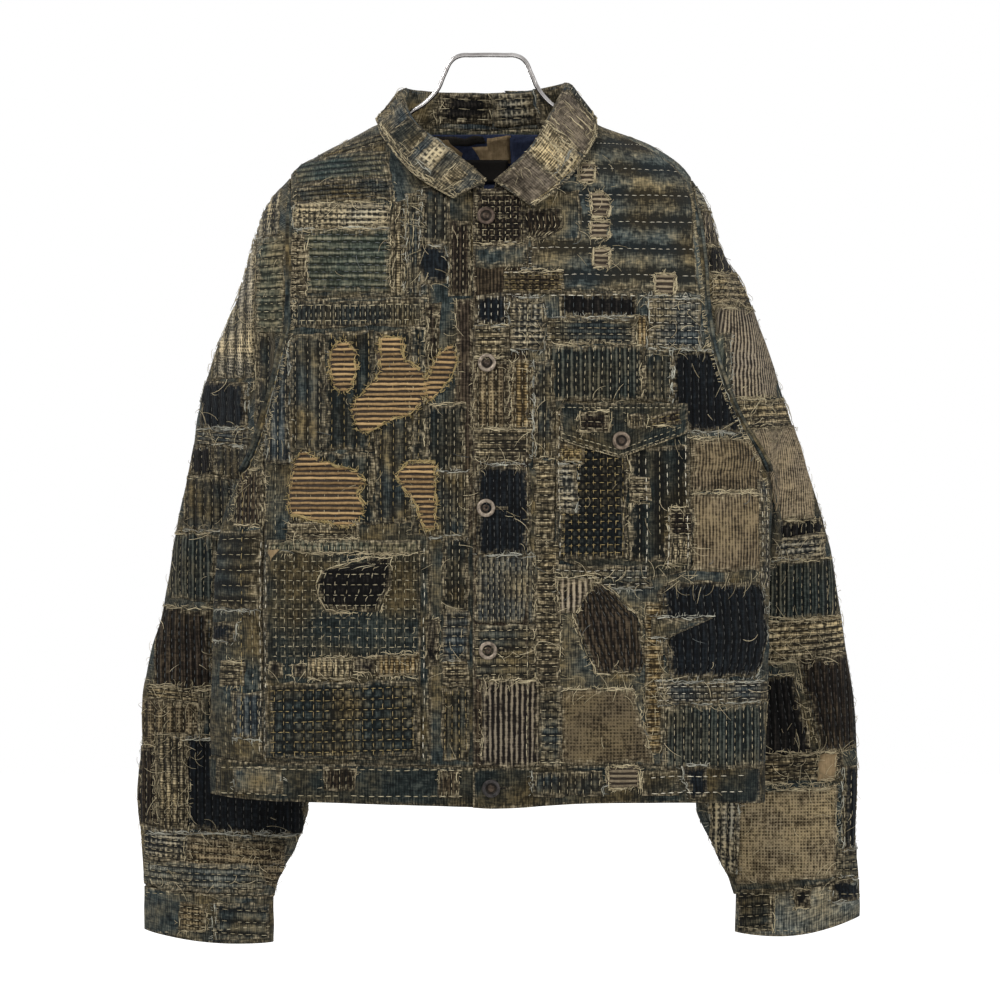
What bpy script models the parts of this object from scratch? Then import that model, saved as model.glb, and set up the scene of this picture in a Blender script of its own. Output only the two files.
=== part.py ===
"""Patched boro jacket on a bent-wire hanger: cut-and-sewn cloth pieces, buttons and wire.

Metres.  +Z up, the front faces -Y, the wearer's right sleeve is on -X.
The origin is the underside of the hanger loop's top bar, where the hook of a rail holds it.
"""
import bpy
from math import cos, pi, sin
from mathutils import Vector

WALL = 0.0016          # one layer of patched cloth
SEAM = 0.0004          # gap left along a flat seam
SIDE_SEAM = 0.0012     # gap left along the side panels' curved seams
CORNER = 0.0016        # gap left along a seam that turns a corner
LAYER = WALL + 0.0009  # how far a piece sewn on top stands off the one below
BAND_WALL = 0.0024     # folded hem band and cuffs
BAND_LAP = LAYER + 0.0008  # how far the lapping band end stands off
BAND_END = 0.2535      # |x| where the front hem bands stop and the back one begins
WIRE = 0.0022          # hanger wire radius
LABEL_WALL = 0.0012    # woven label
BUTTON = 0.0085        # shank button radius

ROUND_TOP = 0.07       # height over which the shoulders round over the hanger
ARMPIT = -0.392        # lowest point of both armholes

# shoulder line seen from the front: x, z
RIDGE = [(-0.187, -0.1157), (-0.1806, -0.1085), (-0.1683, -0.0996), (-0.140, -0.0826),
         (-0.1069, -0.0665), (-0.0786, -0.0570), (0.0, -0.0470), (0.0868, -0.0571),
         (0.1057, -0.0655), (0.1435, -0.0785), (0.1671, -0.0921), (0.1831, -0.1065),
         (0.1926, -0.1176)]
# body outline from the front: z, wearer's right x, wearer's left x
OUTLINE = [(-0.712, -0.2608, 0.2566), (-0.6633, -0.2595, 0.2594), (-0.5501, -0.2567, 0.2626),
           (-0.4746, -0.2529, 0.2631), (-0.4274, -0.2454, 0.2648), (-0.4080, -0.2365, 0.2650),
           (-0.3954, -0.2300, 0.2625), (-0.376, -0.2192, 0.2540), (-0.3507, -0.2107, 0.2383),
           (-0.3199, -0.2018, 0.2237), (-0.2778, -0.1916, 0.2097), (-0.2498, -0.1843, 0.2045),
           (-0.1844, -0.1841, 0.1988), (-0.1100, -0.1850, 0.1900)]
# depth of the body: z, centre front y, front edge y, back edge y, centre back y
DEPTH = [(-0.712, -0.079, -0.024, -0.024, 0.044), (-0.600, -0.083, -0.029, -0.029, 0.047),
         (-0.500, -0.085, -0.028, -0.028, 0.052), (-0.440, -0.085, -0.025, -0.025, 0.055),
         (-0.392, -0.084, -0.016, -0.016, 0.058), (-0.385, -0.084, -0.023, -0.001, 0.058),
         (-0.370, -0.084, -0.029, 0.016, 0.059), (-0.340, -0.083, -0.037, 0.034, 0.061),
         (-0.290, -0.081, -0.044, 0.048, 0.064), (-0.220, -0.077, -0.048, 0.053, 0.066),
         (-0.150, -0.066, -0.048, 0.054, 0.066), (-0.050, -0.054, -0.046, 0.054, 0.062)]
# fullness of the front and of the back across: z, front power, back power
FULLNESS = [(-0.712, 0.60, 0.80), (-0.520, 0.62, 0.80), (-0.385, 0.85, 0.92), (-0.300, 1.0, 1.0),
            (-0.050, 1.0, 1.0)]
# seams across the body, seen from the front: x, yoke seam z, band top z, hem z
CROSS = [(-0.262, -0.2304, -0.6579, -0.6925), (-0.221, -0.2304, -0.6612, -0.6961),
         (-0.128, -0.2304, -0.6617, -0.6979), (-0.016, -0.2313, -0.6642, -0.7010),
         (0.004, -0.2249, -0.6644, -0.7020), (0.104, -0.2249, -0.6626, -0.6975),
         (0.197, -0.2241, -0.6644, -0.6985), (0.262, -0.2239, -0.6672, -0.7015)]
YOKE_BACK = -0.198     # back yoke seam

# sleeve rings, wearer's right and left: v, outer x, outer z, inner x, inner z, centre y, half depth
SLEEVE = {
    "right": [(0.00, -0.1850, -0.1150, -0.2285, -0.3920, 0.004, 0.050),
              (0.04, -0.1985, -0.1270, -0.2400, -0.3975, 0.021, 0.050),
              (0.08, -0.2095, -0.1430, -0.2405, -0.4130, 0.027, 0.050),
              (0.14, -0.2215, -0.1760, -0.2395, -0.4400, 0.032, 0.049),
              (0.20, -0.2360, -0.2240, -0.2365, -0.4650, 0.037, 0.047),
              (0.30, -0.2570, -0.2740, -0.2210, -0.5000, 0.044, 0.043),
              (0.40, -0.2735, -0.3250, -0.2065, -0.5400, 0.051, 0.039),
              (0.50, -0.2875, -0.3880, -0.1950, -0.5800, 0.055, 0.036),
              (0.60, -0.3020, -0.4550, -0.1850, -0.6200, 0.058, 0.034),
              (0.70, -0.3150, -0.5300, -0.1785, -0.6600, 0.060, 0.032),
              (0.80, -0.3300, -0.6050, -0.1722, -0.7070, 0.061, 0.030),
              (0.90, -0.3352, -0.6900, -0.1880, -0.7540, 0.060, 0.028),
              (0.96, -0.3330, -0.7450, -0.2020, -0.7820, 0.059, 0.027),
              (1.00, -0.3303, -0.7905, -0.2069, -0.8000, 0.058, 0.026)],
    "left": [(0.00, 0.1906, -0.1160, 0.2650, -0.3920, 0.004, 0.050),
             (0.04, 0.2010, -0.1300, 0.2715, -0.3990, 0.014, 0.050),
             (0.08, 0.2120, -0.1560, 0.2745, -0.4130, 0.022, 0.050),
             (0.14, 0.2260, -0.1890, 0.2790, -0.4400, 0.030, 0.049),
             (0.20, 0.2430, -0.2150, 0.2790, -0.4650, 0.036, 0.047),
             (0.30, 0.2640, -0.2680, 0.2720, -0.5000, 0.044, 0.043),
             (0.40, 0.2850, -0.3260, 0.2560, -0.5400, 0.051, 0.039),
             (0.50, 0.3060, -0.3870, 0.2400, -0.5800, 0.055, 0.036),
             (0.60, 0.3250, -0.4520, 0.2250, -0.6200, 0.058, 0.034),
             (0.70, 0.3400, -0.5300, 0.2120, -0.6600, 0.060, 0.032),
             (0.80, 0.3500, -0.6080, 0.1996, -0.7100, 0.061, 0.030),
             (0.90, 0.3555, -0.6900, 0.2170, -0.7540, 0.060, 0.028),
             (0.96, 0.3530, -0.7450, 0.2300, -0.7800, 0.059, 0.027),
             (1.00, 0.3556, -0.7838, 0.2370, -0.7980, 0.058, 0.026)]}
# lengths that a sleeve is sewn from: name, v from, v to
SLEEVE_LENGTHS = [("upper", 0.0, 0.495), ("lower", 0.505, 0.9965)]
# cuffs: outer x, outer top z, outer bottom z, inner x, inner top z, inner bottom z, middle sag
CUFF = {"right": (-0.3303, -0.7905, -0.8293, -0.2075, -0.8000, -0.8418, 0.004),
        "left": (0.3556, -0.7838, -0.8169, 0.2385, -0.7980, -0.8322, 0.008)}

# collar: u, neck seam x y z, fold x y z, outer edge x y z, way out x y
COLLAR = [
    (0.00, (-0.0040, -0.0615, -0.1290), (-0.0030, -0.0680, -0.1240), (-0.0320, -0.0715, -0.1395), (0, -1)),
    (0.08, (-0.0240, -0.0600, -0.1235), (-0.0200, -0.0680, -0.1090), (-0.0450, -0.0710, -0.1325), (0, -1)),
    (0.16, (-0.0500, -0.0560, -0.1100), (-0.0423, -0.0620, -0.0913), (-0.0660, -0.0690, -0.1190), (0, -1)),
    (0.24, (-0.0740, -0.0470, -0.0920), (-0.0650, -0.0480, -0.0725), (-0.0895, -0.0580, -0.0935), (-0.3, -0.95)),
    (0.31, (-0.0900, -0.0280, -0.0740), (-0.0780, -0.0270, -0.0530), (-0.1010, -0.0370, -0.0740), (-0.7, -0.7)),
    (0.37, (-0.0930, 0.0010, -0.0640), (-0.0820, -0.0010, -0.0340), (-0.1050, -0.0020, -0.0595), (-1, 0)),
    (0.42, (-0.0820, 0.0310, -0.0625), (-0.0750, 0.0290, -0.0295), (-0.0970, 0.0470, -0.0735), (-0.6, 0.8)),
    (0.46, (-0.0450, 0.0480, -0.0625), (-0.0430, 0.0470, -0.0305), (-0.0520, 0.0700, -0.0860), (-0.15, 1)),
    (0.50, (0.0000, 0.0520, -0.0634), (0.0000, 0.0515, -0.0305), (0.0000, 0.0760, -0.0900), (0, 1)),
    (0.54, (0.0450, 0.0480, -0.0625), (0.0420, 0.0470, -0.0285), (0.0520, 0.0700, -0.0860), (0.15, 1)),
    (0.58, (0.0820, 0.0310, -0.0625), (0.0730, 0.0290, -0.0240), (0.0950, 0.0470, -0.0720), (0.6, 0.8)),
    (0.63, (0.0930, 0.0010, -0.0640), (0.0760, -0.0010, -0.0275), (0.1015, -0.0020, -0.0585), (1, 0)),
    (0.69, (0.0890, -0.0280, -0.0735), (0.0690, -0.0290, -0.0440), (0.1010, -0.0390, -0.0765), (0.7, -0.7)),
    (0.76, (0.0740, -0.0470, -0.0900), (0.0570, -0.0490, -0.0660), (0.0925, -0.0590, -0.0960), (0.3, -0.95)),
    (0.84, (0.0540, -0.0560, -0.1070), (0.0440, -0.0620, -0.0890), (0.0760, -0.0700, -0.1200), (0, -1)),
    (0.92, (0.0300, -0.0600, -0.1215), (0.0270, -0.0680, -0.1085), (0.0560, -0.0760, -0.1380), (0, -1)),
    (1.00, (0.0060, -0.0615, -0.1290), (0.0074, -0.0680, -0.1245), (0.0412, -0.0770, -0.1476), (0, -1))]
FOLD_R = 0.0024        # half the distance between stand and fall at the fold
# neckline of the body, lower edge of the collar: |x|, front z, back z
NECKLINE = [(0.0, -0.1305, -0.0645), (0.024, -0.1260, -0.0640), (0.050, -0.1125, -0.0640),
            (0.074, -0.0960, -0.0645), (0.090, -0.0790, -0.0672), (0.0945, -0.0700, -0.0690)]
NECK_SIDE = 0.0945

PLACKET_R = (-0.0540, 0.0128)          # strip under the buttons, wearer's right
PLACKET_L = (-0.0137, 0.0372)          # strip with the buttonholes, on top
FRONT_R_IN, FRONT_L_IN = -0.0544, 0.0134
SIDE = {-1: 0.2085, 1: 0.2220}         # side panel seams, front and back: |x| by side
HAND_POCKET = (-0.2050, -0.0620, -0.4550, -0.6570)     # x from, x to, z top, z bottom
CHEST_POCKET = (0.0627, 0.1860, -0.3360)               # x from, x to, z top
POCKET_FOOT = [(0.0627, -0.4714), (0.1272, -0.4953), (0.1860, -0.4833)]
FLAP_TOP = -0.3290
FLAP_FOOT = [(0.0665, -0.3637), (0.1206, -0.3794), (0.1740, -0.3601), (0.1834, -0.3560)]
FRONT_BUTTONS = [(-0.0017, -0.1560), (-0.0008, -0.2919), (-0.0017, -0.4254), (0.0002, -0.5561),
                 (0.0030, -0.6830)]
FLAP_BUTTON = (0.1217, -0.3637)
LABEL = (-0.0253, 0.0189, -0.0890, -0.1120)            # x from, x to, z top, z bottom

# hanger wire from the right arm's end over the loop to the left arm's end: x, z
HANGER = [(-0.1700, -0.1068), (-0.1400, -0.0885), (-0.1120, -0.0735), (-0.0960, -0.0705),
          (-0.0835, -0.0610), (-0.0738, -0.0524), (-0.0597, -0.0429), (-0.0483, -0.0310),
          (-0.0410, -0.0150), (-0.0345, -0.0030), (-0.0270, 0.0015), (-0.0150, 0.0022),
          (0.0150, 0.0022), (0.0270, 0.0015), (0.0345, -0.0030), (0.0405, -0.0150),
          (0.0470, -0.0290), (0.0560, -0.0405), (0.0651, -0.0477), (0.0800, -0.0600),
          (0.0960, -0.0705), (0.1120, -0.0725), (0.1435, -0.0835), (0.1740, -0.1040)]

# material: name -> colour, roughness, metallic
CLOTHS = {"patched_denim": ((0.045, 0.052, 0.050), 0.92, 0.0),
          "yoke_denim": ((0.060, 0.070, 0.066), 0.92, 0.0),
          "brown_patched": ((0.085, 0.066, 0.045), 0.92, 0.0),
          "indigo_patched": ((0.030, 0.036, 0.048), 0.92, 0.0),
          "lining_cloth": ((0.30, 0.23, 0.13), 0.9, 0.0),
          "label_cloth": ((0.020, 0.018, 0.015), 0.7, 0.0),
          "button_metal": ((0.11, 0.09, 0.075), 0.45, 0.8),
          "hanger_steel": ((0.55, 0.54, 0.53), 0.25, 1.0)}


def curve(rows, key, column=1):
    """Smooth value of a column at a key; rows run in rising order of their first column."""
    if key <= rows[0][0]:
        return rows[0][column]
    if key >= rows[-1][0]:
        return rows[-1][column]
    i = max(k for k in range(len(rows) - 1) if rows[k][0] <= key)
    x0, x1 = rows[i][0], rows[i + 1][0]
    y0, y1 = rows[i][column], rows[i + 1][column]
    slope = (y1 - y0) / (x1 - x0)

    def tangent(a, b):
        if a < 0 or b >= len(rows):
            return slope
        other = (rows[b][column] - rows[a][column]) / (rows[b][0] - rows[a][0])
        return 0.0 if other * slope <= 0 else (2 * other * slope / (other + slope))
    m0, m1 = tangent(i - 1, i), tangent(i + 1, i + 2)
    t, w = (key - x0) / (x1 - x0), x1 - x0
    return ((2 * t**3 - 3 * t**2 + 1) * y0 + (t**3 - 2 * t**2 + t) * w * m0
            + (-2 * t**3 + 3 * t**2) * y1 + (t**3 - t**2) * w * m1)


def edge_x(z, side):
    return curve(OUTLINE, z, 1 if side < 0 else 2)


def body_y(x, z, face):
    """y of the body cloth's middle: face -1 is the front, +1 the back."""
    left, right = edge_x(z, -1), edge_x(z, 1)
    s = min(1.0, abs((2 * x - left - right) / (right - left)))
    power, shape = curve(FULLNESS, z, 1 if face < 0 else 2), 2.6 if face < 0 else 2.0
    edge, centre = (curve(DEPTH, z, k) for k in ((2, 1) if face < 0 else (3, 4)))
    full = edge + (centre - edge) * (1 - s**shape)**power
    drop = min(1.0, max(0.0, (curve(RIDGE, x) - z) / ROUND_TOP))
    return full * (1 - (1 - drop)**2.4)**0.625


def on_body(x, z, face, out=0.0):
    """A point of the body surface, moved outward along its normal."""
    e = 0.0008
    y = body_y(x, z, face)
    if not out:
        return Vector((x, y, z))
    side = -1 if x > 0 else 1
    dx = (body_y(x + side * e, z, face) - y) / (side * e)
    dz = (y - body_y(x, z - e, face)) / e
    normal = Vector((-dx, 1.0, -dz)).normalized() * face
    return Vector((x, y, z)) + normal * out


def neck_z(x, face):
    """Top edge of the body: the neckline inside the collar, the shoulder line outside it."""
    if abs(x) < NECK_SIDE:
        return curve(NECKLINE, abs(x), 1 if face < 0 else 2) - SEAM
    return curve(RIDGE, x) - 0.00015


def material(name):
    known = bpy.data.materials.get(name)
    if known:
        return known
    colour, rough, metal = CLOTHS[name]
    new = bpy.data.materials.new(name)
    new.use_nodes = True
    shader = new.node_tree.nodes["Principled BSDF"]
    shader.inputs["Base Color"].default_value = (*colour, 1)
    shader.inputs["Roughness"].default_value = rough
    shader.inputs["Metallic"].default_value = metal
    return new


def add(name, data, cloth):
    data.name = name
    item = bpy.data.objects.new(name, data)
    bpy.context.scene.collection.objects.link(item)
    data.materials.append(material(cloth))
    return item


def cloth(name, rows, mat, wall=WALL, tube=False):
    """A grid of points as an open surface, given its wall by Solidify.  A tube closes on its first column."""
    wide = len(rows[0])
    mesh = bpy.data.meshes.new(name)
    mesh.from_pydata([tuple(p) for row in rows for p in row], [],
                     [(i * wide + j, i * wide + (j + 1) % wide, (i + 1) * wide + (j + 1) % wide, (i + 1) * wide + j)
                      for i in range(len(rows) - 1) for j in range(wide if tube else wide - 1)])
    item = add(name, mesh, mat)
    skin = item.modifiers.new("wall", "SOLIDIFY")
    skin.thickness, skin.offset = wall, 0.0
    return item


def steps(a, b, n):
    return [a + (b - a) * i / n for i in range(n + 1)]


def fan(a, b, n):
    """Steps from a to b that are closest together at a."""
    return [a + (b - a) * (i / n)**1.7 for i in range(n + 1)]


def crowd(a, b, n):
    """Steps from a to b that are closest together at b."""
    return [a + (b - a) * (1 - (1 - i / n)**1.6) for i in range(n + 1)]


def crowd_ends(a, b, n):
    """Steps from a to b that are closest together at both."""
    return [a + (b - a) * (0.5 - 0.5 * cos(pi * i / n)) for i in range(n + 1)]


def body_rows(x_in, x_out, top, foot, face, nx, nz, out=0.0, spread=steps, across=steps):
    """Grid of a body piece.  x_out may be a function of z; top and foot are functions of x."""
    rows = []
    ends = [e if callable(e) else (lambda z, e=e: e) for e in (x_in, x_out)]
    at_top = [e(-0.118) for e in ends]
    shares = across(0.0, 1.0, nx)
    for sign in (-1, 1):
        # on a neckline, the two columns beside the neck point move onto it
        mark = (sign * NECK_SIDE - at_top[0]) / (at_top[1] - at_top[0])
        if top(0.0) > -0.14 and 0 < mark < 1:
            near = sorted(sorted(shares, key=lambda a: abs(a - mark))[:2])
            half = 0.0004 / abs(at_top[1] - at_top[0])
            shares = sorted([a for a in shares if a not in near] + [mark - half, mark + half])
    for b in spread(0.0, 1.0, nz):
        row = []
        for a in shares:
            x = at_top[0] + (at_top[1] - at_top[0]) * a
            for _ in range(3):
                z = top(x) + (foot(x) - top(x)) * b
                x = ends[0](z) + (ends[1](z) - ends[0](z)) * a
            row.append(on_body(x, z, face, out))
        rows.append(row)
    return rows


def cross_z(column, move=0.0):
    return lambda x: curve(CROSS, x, column) + move


def limit(side):
    """The body's edge, stopping short of the armhole seam."""
    return lambda z: edge_x(z, side) - side * (0.5 * CORNER if z > ARMPIT else 0.0)


def front_panels():
    for side, tag, x_in in ((-1, "right", FRONT_R_IN), (1, "left", FRONT_L_IN)):
        cloth(f"front_yoke_{tag}",
              body_rows(x_in, limit(side), lambda x: neck_z(x, -1), cross_z(1, 0.5 * SEAM), -1, 7, 7,
                        spread=fan),
              "yoke_denim")
        cloth(f"front_{tag}",
              body_rows(x_in, panel_limit(side), cross_z(1, -0.5 * SEAM), cross_z(2, 0.5 * SEAM), -1, 7, 16,
                        across=crowd),
              "patched_denim")


def panel_limit(side):
    """Front and back panels end at the armhole seam above and at the side panel's seam below."""
    return lambda z: side * min(abs(limit(side)(z)), SIDE[side] - 0.5 * SIDE_SEAM)


def side_top(side):
    """Height at which the side panel's seams meet the armhole."""
    low, high = ARMPIT, -0.26
    for _ in range(30):
        middle = 0.5 * (low + high)
        low, high = (middle, high) if abs(edge_x(middle, side)) > SIDE[side] else (low, middle)
    return low


def side_point(side, a, b):
    """a: front seam (0), side fold (0.5), back seam (1).  b: armhole (0) to hem band (1)."""
    seam, turn = SIDE[side] + 0.5 * SIDE_SEAM, sin(a * pi)
    meet = side_top(side)
    top = meet + (ARMPIT - meet) * turn - CORNER - 0.0030 * turn
    reach, x = max(0.0, turn)**(min(1.0, b / 0.35)**0.8), seam
    for _ in range(3):
        z = top + (curve(CROSS, side * x, 2) + 0.5 * SEAM - top) * b
        x = seam + max(0.0, abs(edge_x(z, side)) - (CORNER if z > ARMPIT else 0.0) - seam) * reach
    return on_body(side * x, z, -1 if a <= 0.5 else 1)


def side_panels():
    for side, tag in ((-1, "right"), (1, "left")):
        cloth(f"side_panel_{tag}",
              [[side_point(side, a, b) for a in steps(0.0, 1.0, 8)] for b in fan(0.0, 1.0, 12)],
              "indigo_patched")


def back_panels():
    cloth("back_yoke",
          body_rows(limit(-1), limit(1), lambda x: neck_z(x, 1), lambda x: YOKE_BACK + 0.5 * SEAM, 1, 13, 6,
                    spread=fan),
          "yoke_denim")
    cloth("back_panel",
          body_rows(panel_limit(-1), panel_limit(1), lambda x: YOKE_BACK - 0.5 * SEAM, cross_z(2, 0.5 * SEAM), 1, 12,
                    14, across=crowd_ends),
          "patched_denim")


def hem_band():
    """Three folded strips; the left front one laps over the right one at the button."""
    top, foot = cross_z(2, -0.5 * SEAM), cross_z(3)

    def strip(name, place, n):
        """place gives x, face and distance out for a share along the strip."""
        rows = []
        for b in steps(0.0, 1.0, 2):
            spots = [place(a) for a in steps(0.0, 1.0, n)]
            rows.append([on_body(x, top(x) + (foot(x) - top(x)) * b, face, out) for x, face, out in spots])
        cloth(name, rows, "yoke_denim", BAND_WALL)

    def right(a):
        return 0.012 - (BAND_END + 0.012) * a, -1, 0.0

    def left(a):
        x = PLACKET_L[0] + (BAND_END - PLACKET_L[0]) * a
        return x, -1, BAND_LAP * min(1.0, max(0.0, (0.046 - x) / 0.014))

    def back(a):
        ends = edge_x(-0.68, -1), edge_x(-0.68, 1)
        if 0.12 <= a <= 0.88:
            return ends[0] + (ends[1] - ends[0]) * (0.5 - 0.5 * cos((a - 0.12) / 0.76 * pi)), 1, 0.0
        side, turn = (-1, a) if a < 0.12 else (1, 1 - a)
        start = BAND_END + 0.0004
        return side * (start + (abs(ends[side > 0]) - start) * sin(turn / 0.12 * pi / 2)), -1, 0.0

    strip("hem_band_right", right, 13)
    strip("hem_band_left", left, 13)
    strip("hem_band_back", back, 24)


def plackets():
    for tag, (x0, x1), out, mat in (("right", PLACKET_R, 0.0, "indigo_patched"),
                                    ("left", PLACKET_L, LAYER, "brown_patched")):
        cloth(f"placket_{tag}",
              body_rows(x0, x1, lambda x: neck_z(x, -1), cross_z(2, 0.5 * SEAM), -1, 3, 22, out), mat)


def profile_z(points):
    """Straight runs between the corners of a pocket's or flap's lower edge."""
    def z_at(x):
        for (x0, z0), (x1, z1) in zip(points, points[1:]):
            if x <= x1:
                return z0 + (z1 - z0) * max(0.0, x - x0) / (x1 - x0)
        return points[-1][1]
    return z_at


def pockets():
    x0, x1, z0, z1 = HAND_POCKET
    cloth("hand_pocket", body_rows(x0, x1, lambda x: z0, lambda x: z1, -1, 7, 8, LAYER), "indigo_patched")
    x0, x1, z0 = CHEST_POCKET
    cloth("chest_pocket", body_rows(x0, x1, lambda x: z0, profile_z(POCKET_FOOT), -1, 8, 7, LAYER), "patched_denim")
    cloth("chest_pocket_flap",
          body_rows(FLAP_FOOT[0][0], FLAP_FOOT[-1][0], lambda x: FLAP_TOP, profile_z(FLAP_FOOT), -1, 8, 3, 2 * LAYER),
          "yoke_denim")


def armhole(side, angle):
    """Sleeve head seam: angle 0 at the shoulder, pi at the armpit, front first."""
    top, low = curve(RIDGE, side * 0.30), (1 - cos(angle)) / 2
    z = top + (ARMPIT - top) * low
    face = -1 if sin(angle) >= 0 else 1
    x = edge_x(z, side)
    return Vector((x + side * (0.5 * CORNER + 0.0001 + 0.0022 * low**4), body_y(x, z, face), z + 0.0022 * low**2))


def sleeve_point(side, v, angle):
    rows = SLEEVE["right" if side < 0 else "left"]
    ox, oz, ix, iz, yc, depth = (curve(rows, v, k) for k in range(1, 7))
    across = (1 - cos(angle)) / 2

    def ring(o, i, y, d):
        return Vector((o[0] + (i[0] - o[0]) * across, y - d * sin(angle), o[1] + (i[1] - o[1]) * across))
    p = ring((ox, oz), (ix, iz), yc, depth)
    fade = max(0.0, 1 - v / 0.30)**2
    if fade:
        first = rows[0]
        p += (armhole(side, angle) - ring(first[1:3], first[3:5], first[5], first[6])) * fade
    return p


def sleeves():
    """Open tubes from the armhole to the wrist, each sewn together from two lengths."""
    for side, tag in ((-1, "right"), (1, "left")):
        for length, start, end in SLEEVE_LENGTHS:
            cloth(f"sleeve_{tag}_{length}",
                  [[sleeve_point(side, v, angle) for angle in steps(0.0, 2 * pi, 22)[:-1]]
                   for v in steps(start, end, 8)], "brown_patched", tube=True)
        cuff(side, tag)


def cuff_point(side, b, angle, out=0.0):
    ox, oz, of, ix, iz, i_f, sag = CUFF["right" if side < 0 else "left"]
    across = (1 - cos(angle)) / 2
    z_top, z_foot = oz + (iz - oz) * across, of + (i_f - of) * across - sag * sin(across * pi)
    yc, depth = 0.058, 0.026 - 0.002 * b
    return Vector((ox + (ix - ox) * across + side * out * cos(angle), yc - (depth + out) * sin(angle),
                   z_top - 0.0006 + (z_foot - z_top) * b))


def cuff(side, tag):
    """A folded strip once round the wrist, its end lapped outside and buttoned."""
    start, lap, ramp = 1.30 * pi, 0.16 * pi, 0.10 * pi
    rows = []
    for b in steps(0.0, 1.0, 2):
        rows.append([])
        for angle in steps(start, start + 2 * pi + lap, 28):
            over = angle - (start + 2 * pi - ramp - 0.03)
            out = (BAND_WALL + SEAM) * min(1.0, max(0.0, over / ramp))
            rows[-1].append(cuff_point(side, b, angle, out))
    cloth(f"cuff_{tag}", rows, "yoke_denim", BAND_WALL)
    spot = start + 2 * pi + 0.55 * lap
    middle, near = cuff_point(side, 0.5, spot, BAND_WALL + SEAM), cuff_point(side, 0.5, spot + 0.02, BAND_WALL + SEAM)
    along, up = near - middle, cuff_point(side, 0.4, spot, BAND_WALL + SEAM) - middle
    facing = along.cross(up).normalized()
    facing = facing if facing.y > 0 else -facing
    button(f"cuff_button_{tag}", middle + facing * (0.5 * BAND_WALL + SEAM), facing)


def collar():
    """Stand, fold and fall in one piece."""
    rows = []
    for u in [r[0] for r in COLLAR]:
        spots = []
        for column in (1, 2, 3):
            spots.append(Vector([curve([(r[0], r[column][axis]) for r in COLLAR], u) for axis in range(3)]))
        out = Vector([curve([(r[0], r[4][axis]) for r in COLLAR], u) for axis in range(2)] + [0.0]).normalized()
        seam, fold, outer = spots
        inner_side, outer_side = fold - out * FOLD_R, fold + out * FOLD_R
        crown = fold + (fold - 0.5 * (seam + outer)).normalized() * FOLD_R
        row = [seam + (inner_side - seam) * t for t in (0.0, 0.33, 0.67, 1.0)] + [crown]
        row += [outer_side + (outer - outer_side) * t for t in (0.0, 0.33, 0.67, 1.0)]
        rows.append(row)
    cloth("collar", rows, "brown_patched")


def lining():
    """Patchwork lining where it shows through the neck, with the bare label on it."""
    inside = -1.55 * LAYER
    cloth("back_lining", body_rows(-0.072, 0.072, lambda x: -0.0705, lambda x: -0.190, 1, 8, 5, inside),
          "lining_cloth")
    x0, x1, z0, z1 = LABEL
    cloth("neck_label", body_rows(x0, x1, lambda x: z0, lambda x: z1, 1, 2, 1, 1.65 * inside), "label_cloth",
          LABEL_WALL)


def button(name, at, facing):
    """Shank button: a lathed cap with a raised rim and a centre stud."""
    r = BUTTON
    line = [(0.0, 0.0), (0.70 * r, 0.0), (0.95 * r, 0.0006), (r, 0.0015), (0.97 * r, 0.0025), (0.86 * r, 0.0030),
            (0.74 * r, 0.0026), (0.60 * r, 0.0021), (0.34 * r, 0.0021), (0.28 * r, 0.0028), (0.0, 0.0030)]
    mesh = bpy.data.meshes.new(name)
    mesh.from_pydata([(x, 0.0, z) for x, z in line], [(i, i + 1) for i in range(len(line) - 1)], [])
    item = add(name, mesh, "button_metal")
    turn = item.modifiers.new("lathe", "SCREW")
    turn.axis, turn.steps, turn.render_steps = "Z", 16, 16
    turn.use_merge_vertices, turn.merge_threshold, turn.use_normal_flip = True, 0.00005, True
    item.location = at
    item.rotation_euler = Vector((0, 0, 1)).rotation_difference(facing).to_euler()


def buttons():
    for k, (x, z) in enumerate(FRONT_BUTTONS):
        base, lift = on_body(x, z, -1), LAYER + 0.5 * WALL + SEAM
        if k == len(FRONT_BUTTONS) - 1:
            lift += 0.0008 + 0.5 * (BAND_WALL - WALL)
        facing = (on_body(x, z, -1, 0.01) - base).normalized()
        button(f"front_button_{k + 1}", base + facing * lift, facing)
    x, z = FLAP_BUTTON
    base = on_body(x, z, -1)
    facing = (on_body(x, z, -1, 0.01) - base).normalized()
    button("flap_button", base + facing * (2 * LAYER + 0.5 * WALL + SEAM), facing)


def hanger():
    line = bpy.data.curves.new("hanger", "CURVE")
    line.dimensions, line.bevel_depth, line.bevel_resolution, line.use_fill_caps = "3D", WIRE, 1, True
    line.resolution_u = 3
    spline = line.splines.new("BEZIER")
    spline.bezier_points.add(len(HANGER) - 1)
    for point, (x, z) in zip(spline.bezier_points, HANGER):
        point.co, point.handle_left_type, point.handle_right_type = (x, 0.0, z), "AUTO", "AUTO"
    add("hanger", line, "hanger_steel")


for old in list(bpy.data.objects):
    bpy.data.objects.remove(old, do_unlink=True)
front_panels()
side_panels()
back_panels()
hem_band()
plackets()
pockets()
sleeves()
collar()
lining()
buttons()
hanger()
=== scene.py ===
"""Looks of the patched boro jacket on its wire hanger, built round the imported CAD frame.

Metres.  +Z up, the front faces -Y, the wearer's right sleeve is on -X.  Patches, stitches and threads are
placed as the front view shows them, in millimetres of the part's own frame: a across and b up.
"""

import bpy
import numpy as np
from math import pi
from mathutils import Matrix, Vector
from mathutils.bvhtree import BVHTree


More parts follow.
